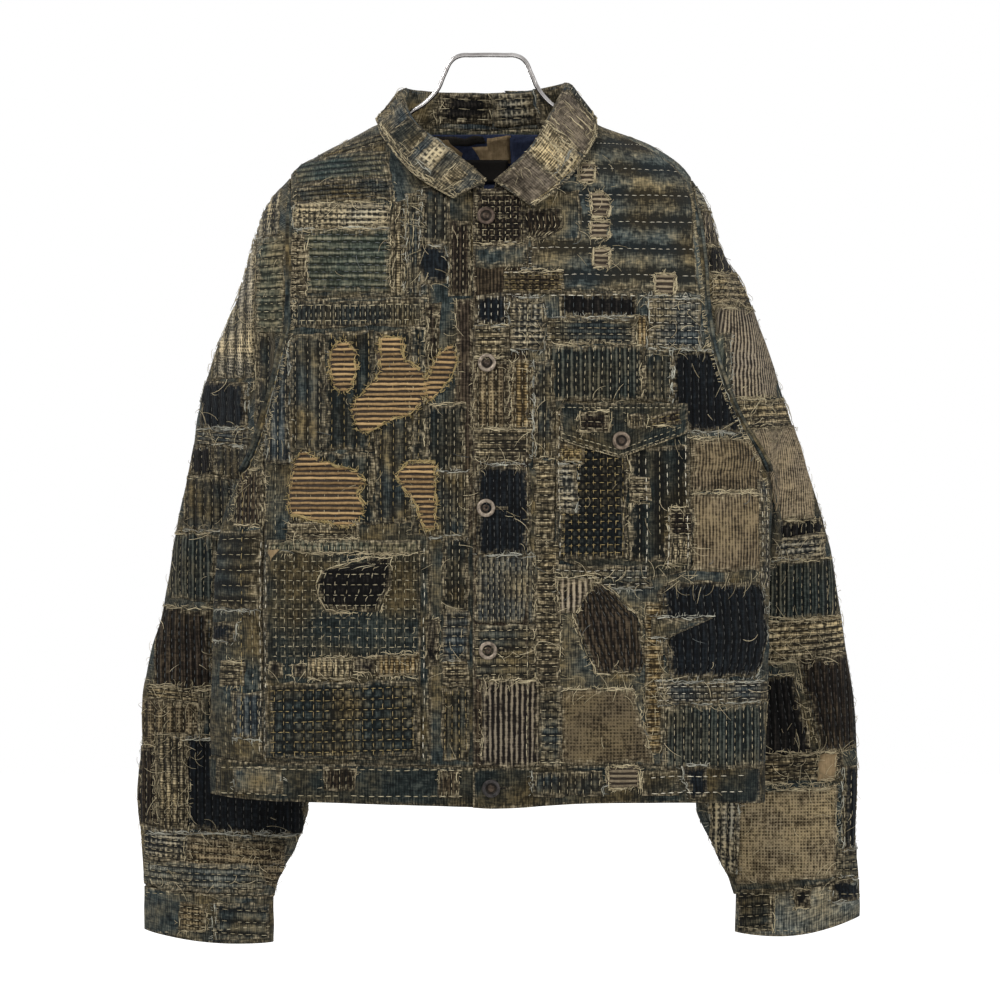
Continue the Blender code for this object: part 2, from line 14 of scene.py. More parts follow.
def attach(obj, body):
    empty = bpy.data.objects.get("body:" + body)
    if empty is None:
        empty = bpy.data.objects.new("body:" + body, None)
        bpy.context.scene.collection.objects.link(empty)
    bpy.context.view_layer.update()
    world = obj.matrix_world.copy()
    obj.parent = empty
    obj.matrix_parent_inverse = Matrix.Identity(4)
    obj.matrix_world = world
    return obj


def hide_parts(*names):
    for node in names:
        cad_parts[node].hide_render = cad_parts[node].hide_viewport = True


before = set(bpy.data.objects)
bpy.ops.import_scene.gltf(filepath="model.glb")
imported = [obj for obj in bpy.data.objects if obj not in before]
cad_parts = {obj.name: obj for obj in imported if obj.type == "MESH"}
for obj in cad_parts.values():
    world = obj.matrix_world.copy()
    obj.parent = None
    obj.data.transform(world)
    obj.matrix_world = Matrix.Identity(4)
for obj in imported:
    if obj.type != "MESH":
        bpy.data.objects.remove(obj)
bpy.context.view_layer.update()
MM = 0.001
DRAW = np.random.default_rng(731)      # every random draw comes from here, in the order of the script
SIDES = ((-1, "right"), (1, "left"))   # the wearer's sides, by the sign of x

# ---------------------------------------------------------------- the jacket's form, as part.py has it
WALL, BAND_WALL, LABEL_WALL = 0.0016, 0.0024, 0.0012    # thickness of cloth, of hem band and cuffs, of label
LAYER = WALL + 0.0009          # from a cloth's middle to that of the cloth laid on it
BAND_MORE = 0.0008             # more than that at the lap of the hem band
BAND_LAP = LAYER + BAND_MORE
BAND_END = 0.2535              # |x| where the front strips of the hem band end
SEAM, SIDE_SEAM, CORNER = 0.0004, 0.0012, 0.0016        # gaps at seams, at side panels, at armholes
WIRE, BUTTON = 0.0022, 0.0085  # radius of the hanger's wire and of a button
ROUND_TOP = 0.07               # depth below the shoulder line over which front and back part
ARMPIT, YOKE_BACK = -0.392, -0.198     # z of the armpits and of the back yoke's seam
NECK_SIDE = 0.0945             # |x| where the neckline meets the shoulder line
FOLD_R, FOLD_ROWS, COLLAR_CELLS = 0.0024, 5, 10         # the collar's fold: radius, rows, cells on each side

# shoulder line seen from the front: x, z
RIDGE = [(-0.187, -0.1157), (-0.1806, -0.1085), (-0.1683, -0.0996), (-0.140, -0.0826),
         (-0.1069, -0.0665), (-0.0786, -0.0570), (0.0, -0.0470), (0.0868, -0.0571),
         (0.1057, -0.0655), (0.1435, -0.0785), (0.1671, -0.0921), (0.1831, -0.1065),
         (0.1926, -0.1176)]
# body outline from the front: z, wearer's right x, wearer's left x
OUTLINE = [(-0.712, -0.2608, 0.2566), (-0.6633, -0.2595, 0.2594), (-0.5501, -0.2567, 0.2626),
           (-0.4746, -0.2529, 0.2631), (-0.4274, -0.2454, 0.2648), (-0.4080, -0.2365, 0.2650),
           (-0.3954, -0.2300, 0.2625), (-0.376, -0.2192, 0.2540), (-0.3507, -0.2107, 0.2383),
           (-0.3199, -0.2018, 0.2237), (-0.2778, -0.1916, 0.2097), (-0.2498, -0.1843, 0.2045),
           (-0.1844, -0.1841, 0.1988), (-0.1100, -0.1850, 0.1900)]
# depth of the body: z, centre front y, front edge y, back edge y, centre back y
DEPTH = [(-0.712, -0.079, -0.024, -0.024, 0.044), (-0.600, -0.083, -0.029, -0.029, 0.047),
         (-0.500, -0.085, -0.028, -0.028, 0.052), (-0.440, -0.085, -0.025, -0.025, 0.055),
         (-0.392, -0.084, -0.016, -0.016, 0.058), (-0.385, -0.084, -0.023, -0.001, 0.058),
         (-0.370, -0.084, -0.029, 0.016, 0.059), (-0.340, -0.083, -0.037, 0.034, 0.061),
         (-0.290, -0.081, -0.044, 0.048, 0.064), (-0.220, -0.077, -0.048, 0.053, 0.066),
         (-0.150, -0.066, -0.048, 0.054, 0.066), (-0.050, -0.054, -0.046, 0.054, 0.062)]
# fullness of the front and of the back across: z, front power, back power
FULLNESS = [(-0.712, 0.60, 0.80), (-0.520, 0.62, 0.80), (-0.385, 0.85, 0.92), (-0.300, 1.0, 1.0),
            (-0.050, 1.0, 1.0)]
# seams across the body, seen from the front: x, yoke seam z, band top z, hem z
CROSS = [(-0.262, -0.2304, -0.6579, -0.6925), (-0.221, -0.2304, -0.6612, -0.6961),
         (-0.128, -0.2304, -0.6617, -0.6979), (-0.016, -0.2313, -0.6642, -0.7010),
         (0.004, -0.2249, -0.6644, -0.7020), (0.104, -0.2249, -0.6626, -0.6975),
         (0.197, -0.2241, -0.6644, -0.6985), (0.262, -0.2239, -0.6672, -0.7015)]
# sleeve rings by side: v, outer x, outer z, inner x, inner z, centre y, half depth
SLEEVE = {
    -1: [(0.00, -0.1850, -0.1150, -0.2285, -0.3920, 0.004, 0.050),
         (0.04, -0.1985, -0.1270, -0.2400, -0.3975, 0.021, 0.050),
         (0.08, -0.2095, -0.1430, -0.2405, -0.4130, 0.027, 0.050),
         (0.14, -0.2215, -0.1760, -0.2395, -0.4400, 0.032, 0.049),
         (0.20, -0.2360, -0.2240, -0.2365, -0.4650, 0.037, 0.047),
         (0.30, -0.2570, -0.2740, -0.2210, -0.5000, 0.044, 0.043),
         (0.40, -0.2735, -0.3250, -0.2065, -0.5400, 0.051, 0.039),
         (0.50, -0.2875, -0.3880, -0.1950, -0.5800, 0.055, 0.036),
         (0.60, -0.3020, -0.4550, -0.1850, -0.6200, 0.058, 0.034),
         (0.70, -0.3150, -0.5300, -0.1785, -0.6600, 0.060, 0.032),
         (0.80, -0.3300, -0.6050, -0.1722, -0.7070, 0.061, 0.030),
         (0.90, -0.3352, -0.6900, -0.1880, -0.7540, 0.060, 0.028),
         (0.96, -0.3330, -0.7450, -0.2020, -0.7820, 0.059, 0.027),
         (1.00, -0.3303, -0.7905, -0.2069, -0.8000, 0.058, 0.026)],
    1: [(0.00, 0.1906, -0.1160, 0.2650, -0.3920, 0.004, 0.050),
        (0.04, 0.2010, -0.1300, 0.2715, -0.3990, 0.014, 0.050),
        (0.08, 0.2120, -0.1560, 0.2745, -0.4130, 0.022, 0.050),
        (0.14, 0.2260, -0.1890, 0.2790, -0.4400, 0.030, 0.049),
        (0.20, 0.2430, -0.2150, 0.2790, -0.4650, 0.036, 0.047),
        (0.30, 0.2640, -0.2680, 0.2720, -0.5000, 0.044, 0.043),
        (0.40, 0.2850, -0.3260, 0.2560, -0.5400, 0.051, 0.039),
        (0.50, 0.3060, -0.3870, 0.2400, -0.5800, 0.055, 0.036),
        (0.60, 0.3250, -0.4520, 0.2250, -0.6200, 0.058, 0.034),
        (0.70, 0.3400, -0.5300, 0.2120, -0.6600, 0.060, 0.032),
        (0.80, 0.3500, -0.6080, 0.1996, -0.7100, 0.061, 0.030),
        (0.90, 0.3555, -0.6900, 0.2170, -0.7540, 0.060, 0.028),
        (0.96, 0.3530, -0.7450, 0.2300, -0.7800, 0.059, 0.027),
        (1.00, 0.3556, -0.7838, 0.2370, -0.7980, 0.058, 0.026)]}
# cuffs: outer x, outer top z, outer bottom z, inner x, inner top z, inner bottom z, middle sag
CUFF = {-1: (-0.3303, -0.7905, -0.8293, -0.2075, -0.8000, -0.8418, 0.004),
        1: (0.3556, -0.7838, -0.8169, 0.2385, -0.7980, -0.8322, 0.008)}
# collar: u, neck seam x y z, fold x y z, outer edge x y z, way out x y
COLLAR = [
    (0.00, (-0.0040, -0.0615, -0.1290), (-0.0030, -0.0680, -0.1240), (-0.0320, -0.0715, -0.1395), (0, -1)),
    (0.08, (-0.0240, -0.0600, -0.1235), (-0.0200, -0.0680, -0.1090), (-0.0450, -0.0710, -0.1325), (0, -1)),
    (0.16, (-0.0500, -0.0560, -0.1100), (-0.0423, -0.0620, -0.0913), (-0.0660, -0.0690, -0.1190), (0, -1)),
    (0.24, (-0.074, -0.047, -0.092), (-0.065, -0.048, -0.0725), (-0.0895, -0.058, -0.0935), (-0.3, -0.95)),
    (0.31, (-0.09, -0.028, -0.074), (-0.078, -0.027, -0.053), (-0.101, -0.037, -0.074), (-0.7, -0.7)),
    (0.37, (-0.0930, 0.0010, -0.0640), (-0.0820, -0.0010, -0.0340), (-0.1050, -0.0020, -0.0595), (-1, 0)),
    (0.42, (-0.0820, 0.0310, -0.0625), (-0.0750, 0.0290, -0.0295), (-0.0970, 0.0470, -0.0735), (-0.6, 0.8)),
    (0.46, (-0.0450, 0.0480, -0.0625), (-0.0430, 0.0470, -0.0305), (-0.0520, 0.0700, -0.0860), (-0.15, 1)),
    (0.50, (0.0000, 0.0520, -0.0634), (0.0000, 0.0515, -0.0305), (0.0000, 0.0760, -0.0900), (0, 1)),
    (0.54, (0.0450, 0.0480, -0.0625), (0.0420, 0.0470, -0.0285), (0.0520, 0.0700, -0.0860), (0.15, 1)),
    (0.58, (0.0820, 0.0310, -0.0625), (0.0730, 0.0290, -0.0240), (0.0950, 0.0470, -0.0720), (0.6, 0.8)),
    (0.63, (0.0930, 0.0010, -0.0640), (0.0760, -0.0010, -0.0275), (0.1015, -0.0020, -0.0585), (1, 0)),
    (0.69, (0.0890, -0.0280, -0.0735), (0.0690, -0.0290, -0.0440), (0.1010, -0.0390, -0.0765), (0.7, -0.7)),
    (0.76, (0.0740, -0.0470, -0.0900), (0.0570, -0.0490, -0.0660), (0.0925, -0.0590, -0.0960), (0.3, -0.95)),
    (0.84, (0.0540, -0.0560, -0.1070), (0.0440, -0.0620, -0.0890), (0.0760, -0.0700, -0.1200), (0, -1)),
    (0.92, (0.0300, -0.0600, -0.1215), (0.0270, -0.0680, -0.1085), (0.0560, -0.0760, -0.1380), (0, -1)),
    (1.00, (0.0060, -0.0615, -0.1290), (0.0074, -0.0680, -0.1245), (0.0412, -0.0770, -0.1476), (0, -1))]
# neckline of the body: |x|, front z, back z
NECKLINE = [(0.0, -0.1305, -0.0645), (0.024, -0.1260, -0.0640), (0.050, -0.1125, -0.0640),
            (0.074, -0.0960, -0.0645), (0.090, -0.0790, -0.0672), (0.0945, -0.0700, -0.0690)]
PLACKET_R, PLACKET_L = (-0.0540, 0.0128), (-0.0137, 0.0372)
FRONT_IN = {-1: -0.0544, 1: 0.0134}    # where each front starts beside the placket
SIDE = {-1: 0.2085, 1: 0.2220}         # side panel seams, front and back
HAND_POCKET = (-0.2050, -0.0620, -0.4550, -0.6570)
CHEST_POCKET = (0.0627, 0.1860, -0.3360)
POCKET_FOOT = [(0.0627, -0.4714), (0.1272, -0.4953), (0.1860, -0.4833)]
FLAP_TOP = -0.3290
FLAP_FOOT = [(0.0665, -0.3637), (0.1206, -0.3794), (0.1740, -0.3601), (0.1834, -0.3560)]
FRONT_BUTTONS = [
    (-0.0017, -0.1560), (-0.0008, -0.2919), (-0.0017, -0.4254), (0.0002, -0.5561), (0.0030, -0.6830)]
FLAP_BUTTON = (0.1217, -0.3637)
LABEL = (-0.0253, 0.0189, -0.0890, -0.1120)
HANGER = [(-0.1700, -0.1068), (-0.1400, -0.0885), (-0.1120, -0.0735), (-0.0960, -0.0705),
          (-0.0835, -0.0610), (-0.0738, -0.0524), (-0.0597, -0.0429), (-0.0483, -0.0310),
          (-0.0410, -0.0150), (-0.0345, -0.0030), (-0.0270, 0.0015), (-0.0150, 0.0022),
          (0.0150, 0.0022), (0.0270, 0.0015), (0.0345, -0.0030), (0.0405, -0.0150),
          (0.0470, -0.0290), (0.0560, -0.0405), (0.0651, -0.0477), (0.0800, -0.0600),
          (0.0960, -0.0705), (0.1120, -0.0725), (0.1435, -0.0835), (0.1740, -0.1040)]


def curve(rows, key, column=1):
    """Smooth value of a column at a key, for arrays of keys."""
    xs, ys = np.array([r[0] for r in rows]), np.array([r[column] for r in rows])
    slope = np.diff(ys) / np.diff(xs)
    pair, total = slope[1:] * slope[:-1], slope[1:] + slope[:-1]
    inner = np.where(pair > 0, 2 * pair / np.where(total == 0, 1, total), 0)
    m = np.concatenate([slope[:1], inner, slope[-1:]])
    key = np.clip(key, xs[0], xs[-1])
    i = np.clip(np.searchsorted(xs, key, side="right") - 1, 0, len(xs) - 2)
    w = xs[i + 1] - xs[i]
    t = (key - xs[i]) / w
    return ((2 * t**3 - 3 * t**2 + 1) * ys[i] + (t**3 - 2 * t**2 + t) * w * m[i]
            + (-2 * t**3 + 3 * t**2) * ys[i + 1] + (t**3 - t**2) * w * m[i + 1])


def edge_x(z, side):
    return curve(OUTLINE, z, 1 if side < 0 else 2)


def body_y(x, z, face):
    """y of the body cloth's middle: face -1 is the front, +1 the back."""
    left, right = edge_x(z, -1), edge_x(z, 1)
    s = np.minimum(1.0, np.abs((2 * x - left - right) / (right - left)))
    power, shape = curve(FULLNESS, z, 1 if face < 0 else 2), 2.6 if face < 0 else 2.0
    edge, centre = (curve(DEPTH, z, k) for k in ((2, 1) if face < 0 else (3, 4)))
    full = edge + (centre - edge) * (1 - s**shape)**power
    drop = np.clip((curve(RIDGE, x) - z) / ROUND_TOP, 0.0, 1.0)
    return full * (1 - (1 - drop)**2.4)**0.625


def on_body(x, z, face, out=0.0):
    """Points of the body surface, moved outward along its normal."""
    x, z = np.broadcast_arrays(np.asarray(x, float), np.asarray(z, float))
    step = 0.0008    # over which the slope is taken, towards the middle and down
    y = body_y(x, z, face)
    side = np.where(x > 0, -1, 1)
    dx = (body_y(x + side * step, z, face) - y) / (side * step)
    dz = (y - body_y(x, z - step, face)) / step
    normal = np.stack([-dx, np.ones_like(dx), -dz], -1)
    normal *= face / np.linalg.norm(normal, axis=-1, keepdims=True)
    return np.stack([x, y, z], -1) + normal * np.asarray(out)[..., None]


def neck_z(x, face):
    x = np.asarray(x, float)
    return np.where(np.abs(x) < NECK_SIDE, curve(NECKLINE, np.abs(x), 1 if face < 0 else 2) - SEAM,
                    curve(RIDGE, x) - 0.00015)


def cross_z(column, move=0.0):
    return lambda x: curve(CROSS, x, column) + move


def flat_z(z):
    return lambda x: np.full_like(np.asarray(x, float), z)


def body_grid(x_left, x_right, top, foot, face, nx, nz, out=0.0):
    """Grid of a body piece from left to right and top to foot; the ends may be functions of z."""
    ends = [e if callable(e) else (lambda z, e=e: np.full_like(z, e)) for e in (x_left, x_right)]
    a, b = np.meshgrid(np.linspace(0, 1, nx + 1), np.linspace(0, 1, nz + 1))
    start = np.full_like(a, -0.118)    # a height in the yokes, from which x and z are found in turn
    x = ends[0](start) + (ends[1](start) - ends[0](start)) * a
    for _ in range(4):
        z = top(x) + (foot(x) - top(x)) * b
        x = ends[0](z) + (ends[1](z) - ends[0](z)) * a
    return on_body(x, z, face, out)


def limit(side):
    """The body's edge, stopping short of the armhole seam."""
    return lambda z: edge_x(z, side) - side * np.where(z > ARMPIT, 0.5 * CORNER, 0.0)


def panel_limit(side):
    """The same, stopping at the side panel's seam too."""
    return lambda z: side * np.minimum(np.abs(limit(side)(z)), SIDE[side] - 0.5 * SIDE_SEAM)


def side_top(side):
    """z where the body's edge gets wider than the side panel's seam, found by halving."""
    low, high = ARMPIT, -0.26
    for _ in range(30):
        middle = 0.5 * (low + high)
        low, high = (middle, high) if abs(edge_x(middle, side)) > SIDE[side] else (low, middle)
    return low


def side_grid(side, na, nb):
    """Side panel from its front seam round the fold to its back seam."""
    a, b = np.meshgrid(np.linspace(0, 1, na + 1), np.linspace(0, 1, nb + 1)**1.3)
    seam, turn, meet = SIDE[side] + 0.5 * SIDE_SEAM, np.sin(a * pi), side_top(side)
    top = meet + (ARMPIT - meet) * turn - CORNER - 0.0030 * turn
    reach, x = np.clip(turn, 0, 1)**(np.minimum(1.0, b / 0.35)**0.8), np.full_like(a, seam)
    for _ in range(3):
        z = top + (curve(CROSS, side * x, 2) + 0.5 * SEAM - top) * b
        inset = np.where(z > ARMPIT, CORNER, 0.0)
        x = seam + np.maximum(0.0, np.abs(edge_x(z, side)) - inset - seam) * reach
    front, back = on_body(side * x, z, -1), on_body(side * x, z, 1)
    return np.where((a <= 0.5)[..., None], front, back)


def armhole(side, angle):
    """The seam of a sleeve by angle from the shoulder's end, which lies proud of the body at the armpit."""
    top, low = curve(RIDGE, side * 0.30), (1 - np.cos(angle)) / 2
    z = top + (ARMPIT - top) * low
    x = edge_x(z, side)
    y = np.where(np.sin(angle) >= 0, body_y(x, z, -1), body_y(x, z, 1))
    proud = 0.0022
    return np.stack([x + side * (0.5 * CORNER + 0.0001 + proud * low**4), y, z + proud * low**2], -1)


def sleeve_grid(side, na, nv):
    """A sleeve as rings of SLEEVE down the arm, which start as the armhole's seam."""
    angle, v = np.meshgrid(np.linspace(0, 2 * pi, na + 1)[:-1], np.linspace(0, 0.9965, nv + 1))
    across = (1 - np.cos(angle)) / 2

    def ring(ox, oz, ix, iz, yc, depth):
        return np.stack([ox + (ix - ox) * across, yc - depth * np.sin(angle), oz + (iz - oz) * across], -1)
    rows = SLEEVE[side]
    p = ring(*(curve(rows, v, k) for k in range(1, 7)))
    fade = np.clip(1 - v / 0.30, 0, 1)**2
    return p + (armhole(side, angle) - ring(*rows[0][1:])) * fade[..., None]


def cuff_grid(side, na, nb):
    """A cuff's strip once round the wrist, its end lifted over its start, and the angle of its button."""
    start, lap, ramp = 1.30 * pi, 0.16 * pi, 0.10 * pi
    end = start + 2 * pi
    angle, b = np.meshgrid(np.linspace(start, end + lap, na + 1), np.linspace(-0.05, 1, nb + 1))
    out = (BAND_WALL + SEAM) * np.clip((angle - (end - ramp - 0.03)) / ramp, 0, 1)
    return cuff_points(side, b, angle, out), (end + 0.55 * lap)


def cuff_points(side, b, angle, out):
    ox, oz, of, ix, iz, i_f, sag = CUFF[side]
    across = (1 - np.cos(angle)) / 2
    z_top, z_foot = oz + (iz - oz) * across, of + (i_f - of) * across - sag * np.sin(across * pi)
    depth = 0.026 - 0.002 * b
    return np.stack([ox + (ix - ox) * across + side * out * np.cos(angle),
                     0.058 - (depth + out) * np.sin(angle),
                     z_top - 0.0006 + (z_foot - z_top) * b], -1)


def unit(vectors, least=1e-12):
    return vectors / np.maximum(np.linalg.norm(vectors, axis=-1, keepdims=True), least)


def collar_grid(nu, nt):
    """Stand, fold and fall: rows run from the neck seam over the fold to the outer edge."""
    u = np.linspace(0, 1, nu + 1)

    def line(k, axes):
        return np.stack([curve([(r[0], r[k][axis]) for r in COLLAR], u) for axis in range(axes)], -1)
    seam, fold, outer = (line(k, 3) for k in (1, 2, 3))
    out = unit(np.concatenate([line(4, 2), 0 * u[:, None]], -1))
    crown = fold + unit(fold - 0.5 * (seam + outer)) * FOLD_R
    inner_side, outer_side = fold - out * FOLD_R, fold + out * FOLD_R
    rows = [seam + (inner_side - seam) * t for t in np.linspace(0, 1, nt + 1)]
    for t in np.linspace(0, pi, FOLD_ROWS + 2)[1:-1]:
        rows.append(fold + (crown - fold) * np.sin(t) - out * FOLD_R * np.cos(t))
    rows += [outer_side + (outer - outer_side) * t for t in np.linspace(0, 1, nt + 1)]
    return np.array(rows)


# ---------------------------------------------------------------- noise, meshes and pieces


def lattice(cell, seed):
    """A repeatable value from 0 to 1 for each whole-number cell."""
    h = (cell[..., 0] * 374761393 + cell[..., 1] * 668265263 + cell[..., 2] * 2147483647 + seed * 974634777)
    h = (h ^ (h >> 13)) * 1274126177
    return ((h ^ (h >> 16)) & 0xFFFF) / 65535.0


def noise(points, size, seed=0):
    """Smooth value noise from -1 to 1 with cells of a size in the points' unit."""
    p = np.asarray(points, float) / size
    whole = np.floor(p).astype(np.int64)
    f = p - whole
    f = f * f * (3 - 2 * f)
    total = 0.0
    for corner in range(8):
        step = np.array([(corner >> k) & 1 for k in range(3)])
        weight = np.prod(np.where(step, f, 1 - f), axis=-1)
        total = total + weight * lattice(whole + step, seed)
    return 2 * total - 1


def normals_of(grid, closed=False):
    """Unit normals of a grid: along the columns crossed with down the rows."""
    across = np.roll(grid, -1, 1) - np.roll(grid, 1, 1) if closed else np.gradient(grid, axis=1)
    return unit(np.cross(across, np.gradient(grid, axis=0)))


def run_length(points, axis):
    """Distance run along one axis of a grid of points."""
    steps = np.linalg.norm(np.diff(points, axis=axis), axis=-1)
    return np.concatenate([np.zeros_like(steps.take([0], axis)), np.cumsum(steps, axis)], axis)


def quads(rows, columns, closed=False):
    i, j = np.meshgrid(np.arange(rows - 1), np.arange(columns if closed else columns - 1), indexing="ij")
    k = (j + 1) % columns
    corners = [i * columns + j, i * columns + k, (i + 1) * columns + k, (i + 1) * columns + j]
    return np.stack(corners, -1).reshape(-1, 4)


def two_sided(rows, columns, closed=False, turned=False):
    """Faces of two equal grids, the second the underside of the first, and of the border that joins them."""
    index, n = np.arange(rows * columns).reshape(rows, columns), rows * columns
    if closed:
        loops = [np.append(index[0], index[0][0]), np.append(index[-1], index[-1][0])[::-1]]
    else:
        loops = [np.concatenate([index[0], index[1:, -1], index[-1, :-1][::-1], index[:-1, 0][::-1]])]
    border = [np.stack([line[1:], line[:-1], line[:-1] + n, line[1:] + n], -1) for line in loops]
    border = np.concatenate(border)
    face = quads(rows, columns, closed)
    if turned:
        face, border = face[:, ::-1], border[:, ::-1]
    return [face, face[:, ::-1] + n, border]


def each(values, n, width=None):
    """A float or a row of floats for each of n points, from one for all or one for each."""
    if width:
        return np.zeros((n, width)) if values is None else np.asarray(values, float).reshape(-1, width)
    return np.broadcast_to(np.asarray(values, float).reshape(-1), (n,))


class Piece:
    """One object gathered from many small meshes, each with its material, cloth map, wear and tone."""

    def __init__(self, name, slot):
        self.name, self.slot, self.count = name, slot, 0
        self.points, self.faces, self.paint, self.materials = [], [], [], []
        self.map, self.rows, self.wear, self.tone = [], [], [], []

    def add(self, points, faces, material, flat=None, wear=0.0, tone=0.5, rows=None):
        """faces is a list of index arrays of any width; flat is the cloth map in millimetres, rows the count
        of stitch rows passed each way."""
        points = np.asarray(points, float).reshape(-1, 3)
        n = len(points)
        self.points.append(points)
        self.map.append(each(flat, n, 2))
        self.rows.append(each(rows, n, 2))
        self.wear.append(each(wear, n))
        self.tone.append(each(tone, n))
        if material not in self.materials:
            self.materials.append(material)
        for group in faces:
            self.faces.append(group + self.count)
            self.paint.append(np.full(len(group), self.materials.index(material)))
        self.count += n

    def done(self, replaces=()):
        """The gathered meshes as one Blender object that rides on the jacket."""
        mesh = bpy.data.meshes.new(self.name)
        points, paint = np.concatenate(self.points), np.concatenate(self.paint)
        sizes = np.concatenate([np.full(len(g), g.shape[1]) for g in self.faces])
        loops = np.concatenate([g.reshape(-1) for g in self.faces])
        starts = np.concatenate([[0], np.cumsum(sizes)[:-1]])
        mesh.vertices.add(len(points))
        mesh.loops.add(len(loops))
        mesh.polygons.add(len(sizes))
        mesh.vertices.foreach_set("co", points.astype(np.float32).reshape(-1))
        mesh.loops.foreach_set("vertex_index", loops.astype(np.int32))
        for label, values in (("loop_start", starts), ("loop_total", sizes), ("material_index", paint)):
            mesh.polygons.foreach_set(label, values.astype(np.int32))
        mesh.polygons.foreach_set("use_smooth", np.ones(len(sizes), bool))
        for label, values in (("weave", self.map), ("rows", self.rows)):
            layer = mesh.uv_layers.new(name=label)
            layer.data.foreach_set("uv", np.concatenate(values)[loops].astype(np.float32).reshape(-1))
        for label, values in (("wear", self.wear), ("tone", self.tone)):
            values = np.concatenate(values).astype(np.float32)
            mesh.attributes.new(label, "FLOAT", "POINT").data.foreach_set("value", values)
        mesh.update(calc_edges=True)
        mesh.validate()
        for name in self.materials:
            mesh.materials.append(MATERIALS[name])
        return settle(bpy.data.objects.new(self.name, mesh), replaces)


def settle(item, replaces=()):
    """Puts a piece in the scene, on the jacket's one body."""
    bpy.context.scene.collection.objects.link(item)
    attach(item, "root")
    if replaces:
        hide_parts(*replaces)
    return item


def crumple(points, small, broad):
    """Out-of-plane relief of worn, sewn cloth, in metres: folds 47 mm across and 15 mm across."""
    return MM * (broad * noise(points, 0.047, 3) + small * noise(points, 0.015, 5))


SHELLS = {}    # by name: the cloth's object, the outer surface of its grid, its normals and its faces


def sew_up(name, slot, material, grid, sign, wall=WALL, closed=False, relief=(0.8, 1.7), fade=1.0, node=None):
    """A cloth that stands for the CAD node of the same name or the given ones: the grid with its wall on both
    sides.  sign turns the grid's normals outward."""
    lift = crumple(grid, *relief) * fade
    grid = grid + (normals_of(grid, closed) * sign) * lift[..., None]
    normal = normals_of(grid, closed) * sign
    outer, inner = grid + normal * wall / 2, grid - normal * wall / 2
    rows, columns = grid.shape[:2]
    along, down = run_length(grid, 1), run_length(grid, 0)
    along = along - along[:, columns // 2][:, None]
    flat = np.stack([along, down - down[-1]], -1) / MM + DRAW.uniform(-500, 500, 2)
    edge = np.zeros((rows, columns))
    edge[[0, -1]] = 1.0
    if not closed:
        edge[:, [0, -1]] = 1.0
    faces, piece = two_sided(rows, columns, closed, sign < 0), Piece(name + "_cloth", slot)
    piece.add([outer, inner], faces, material, [flat, flat], [edge, edge], 0.5)
    SHELLS[name] = (piece.done(node or [name]), outer, normal, faces[0])


# ---------------------------------------------------------------- where trim lies


class Ground:
    """Flat places (a, b) in millimetres mapped onto a cloth's surface, with what is already laid on it."""

    def __init__(self, points, normals, b, low, high, rounded):
        self.points, self.normals, self.b, self.rounded = points, normals, np.asarray(b), rounded
        self.low, self.high = np.broadcast_to(low, len(b)), np.broadcast_to(high, len(b))
        self.rows, self.columns = points.shape[:2]
        self.lift = np.zeros((self.rows, self.columns))
        i, j = np.meshgrid(np.arange(self.rows), np.arange(self.columns), indexing="ij")
        self.raster_a, self.raster_b = self.place(i, j)

    def spot(self, a, b):
        """Fractional row and column of a place."""
        low, high = np.interp(b, self.b, self.low), np.interp(b, self.b, self.high)
        q = np.clip((a - low) / (high - low), 0, 1)
        if self.rounded:
            q = np.arccos(1 - 2 * q) / pi
        return np.interp(b, self.b, np.arange(self.rows)), q * (self.columns - 1)

    def place(self, i, j):
        b = np.interp(i, np.arange(self.rows), self.b)
        low, high, q = np.interp(b, self.b, self.low), np.interp(b, self.b, self.high), j / (self.columns - 1)
        return low + (high - low) * ((1 - np.cos(q * pi)) / 2 if self.rounded else q), b

    def share(self, q):
        """The line a share q of the way across, as a function of b."""
        return lambda b: (1 - q) * np.interp(b, self.b, self.low) + q * np.interp(b, self.b, self.high)

    def sample(self, values, i, j):
        i0, j0 = np.clip(i.astype(int), 0, self.rows - 2), np.clip(j.astype(int), 0, self.columns - 2)
        s, t = i - i0, j - j0
        if values.ndim == 3:
            s, t = s[..., None], t[..., None]
        return ((values[i0, j0] * (1 - t) + values[i0, j0 + 1] * t) * (1 - s)
                + (values[i0 + 1, j0] * (1 - t) + values[i0 + 1, j0 + 1] * t) * s)

    def at(self, a, b, out):
        """Points over the topmost layer, out millimetres up, and their normals."""
        i, j = self.spot(np.asarray(a, float), np.asarray(b, float))
        return self.over(i, j, self.lift, out)

    def over(self, i, j, lift, out):
        normal = unit(self.sample(self.normals, i, j))
        height = MM * (self.sample(lift, i, j) + out)
        return self.sample(self.points, i, j) + normal * height[..., None], normal

    def spread_lift(self):
        """The lift with each layer's edge widened by a cell, so that the next layer clears it."""
        grown = np.pad(self.lift, 1, mode="edge")
        return np.max([grown[1 + di:grown.shape[0] - 1 + di, 1 + dj:grown.shape[1] - 1 + dj]
                       for di in (-1, 0, 1) for dj in (-1, 0, 1)], axis=0)


SLIPPED = 0.006    # metres off its neighbours' depth at which a ray has missed the cloth it was meant for


def section(p, q, z):
    """Lowest and highest x where the edges from p to q cross a height."""
    cut = (p[:, 2] - z) * (q[:, 2] - z) <= 0
    p, q = p[cut], q[cut]
    t = (z - p[:, 2]) / np.where(q[:, 2] == p[:, 2], 1, q[:, 2] - p[:, 2])
    x = p[:, 0] + (q[:, 0] - p[:, 0]) * np.clip(t, 0, 1)
    return x.min() + 0.0006, x.max() - 0.0006


def filled(line):
    """A line of points whose missing ones lie between their neighbours."""
    found = np.flatnonzero(~np.isnan(line[:, 0]))
    return np.stack([np.interp(np.arange(len(line)), found, line[found, axis]) for axis in range(3)], -1)


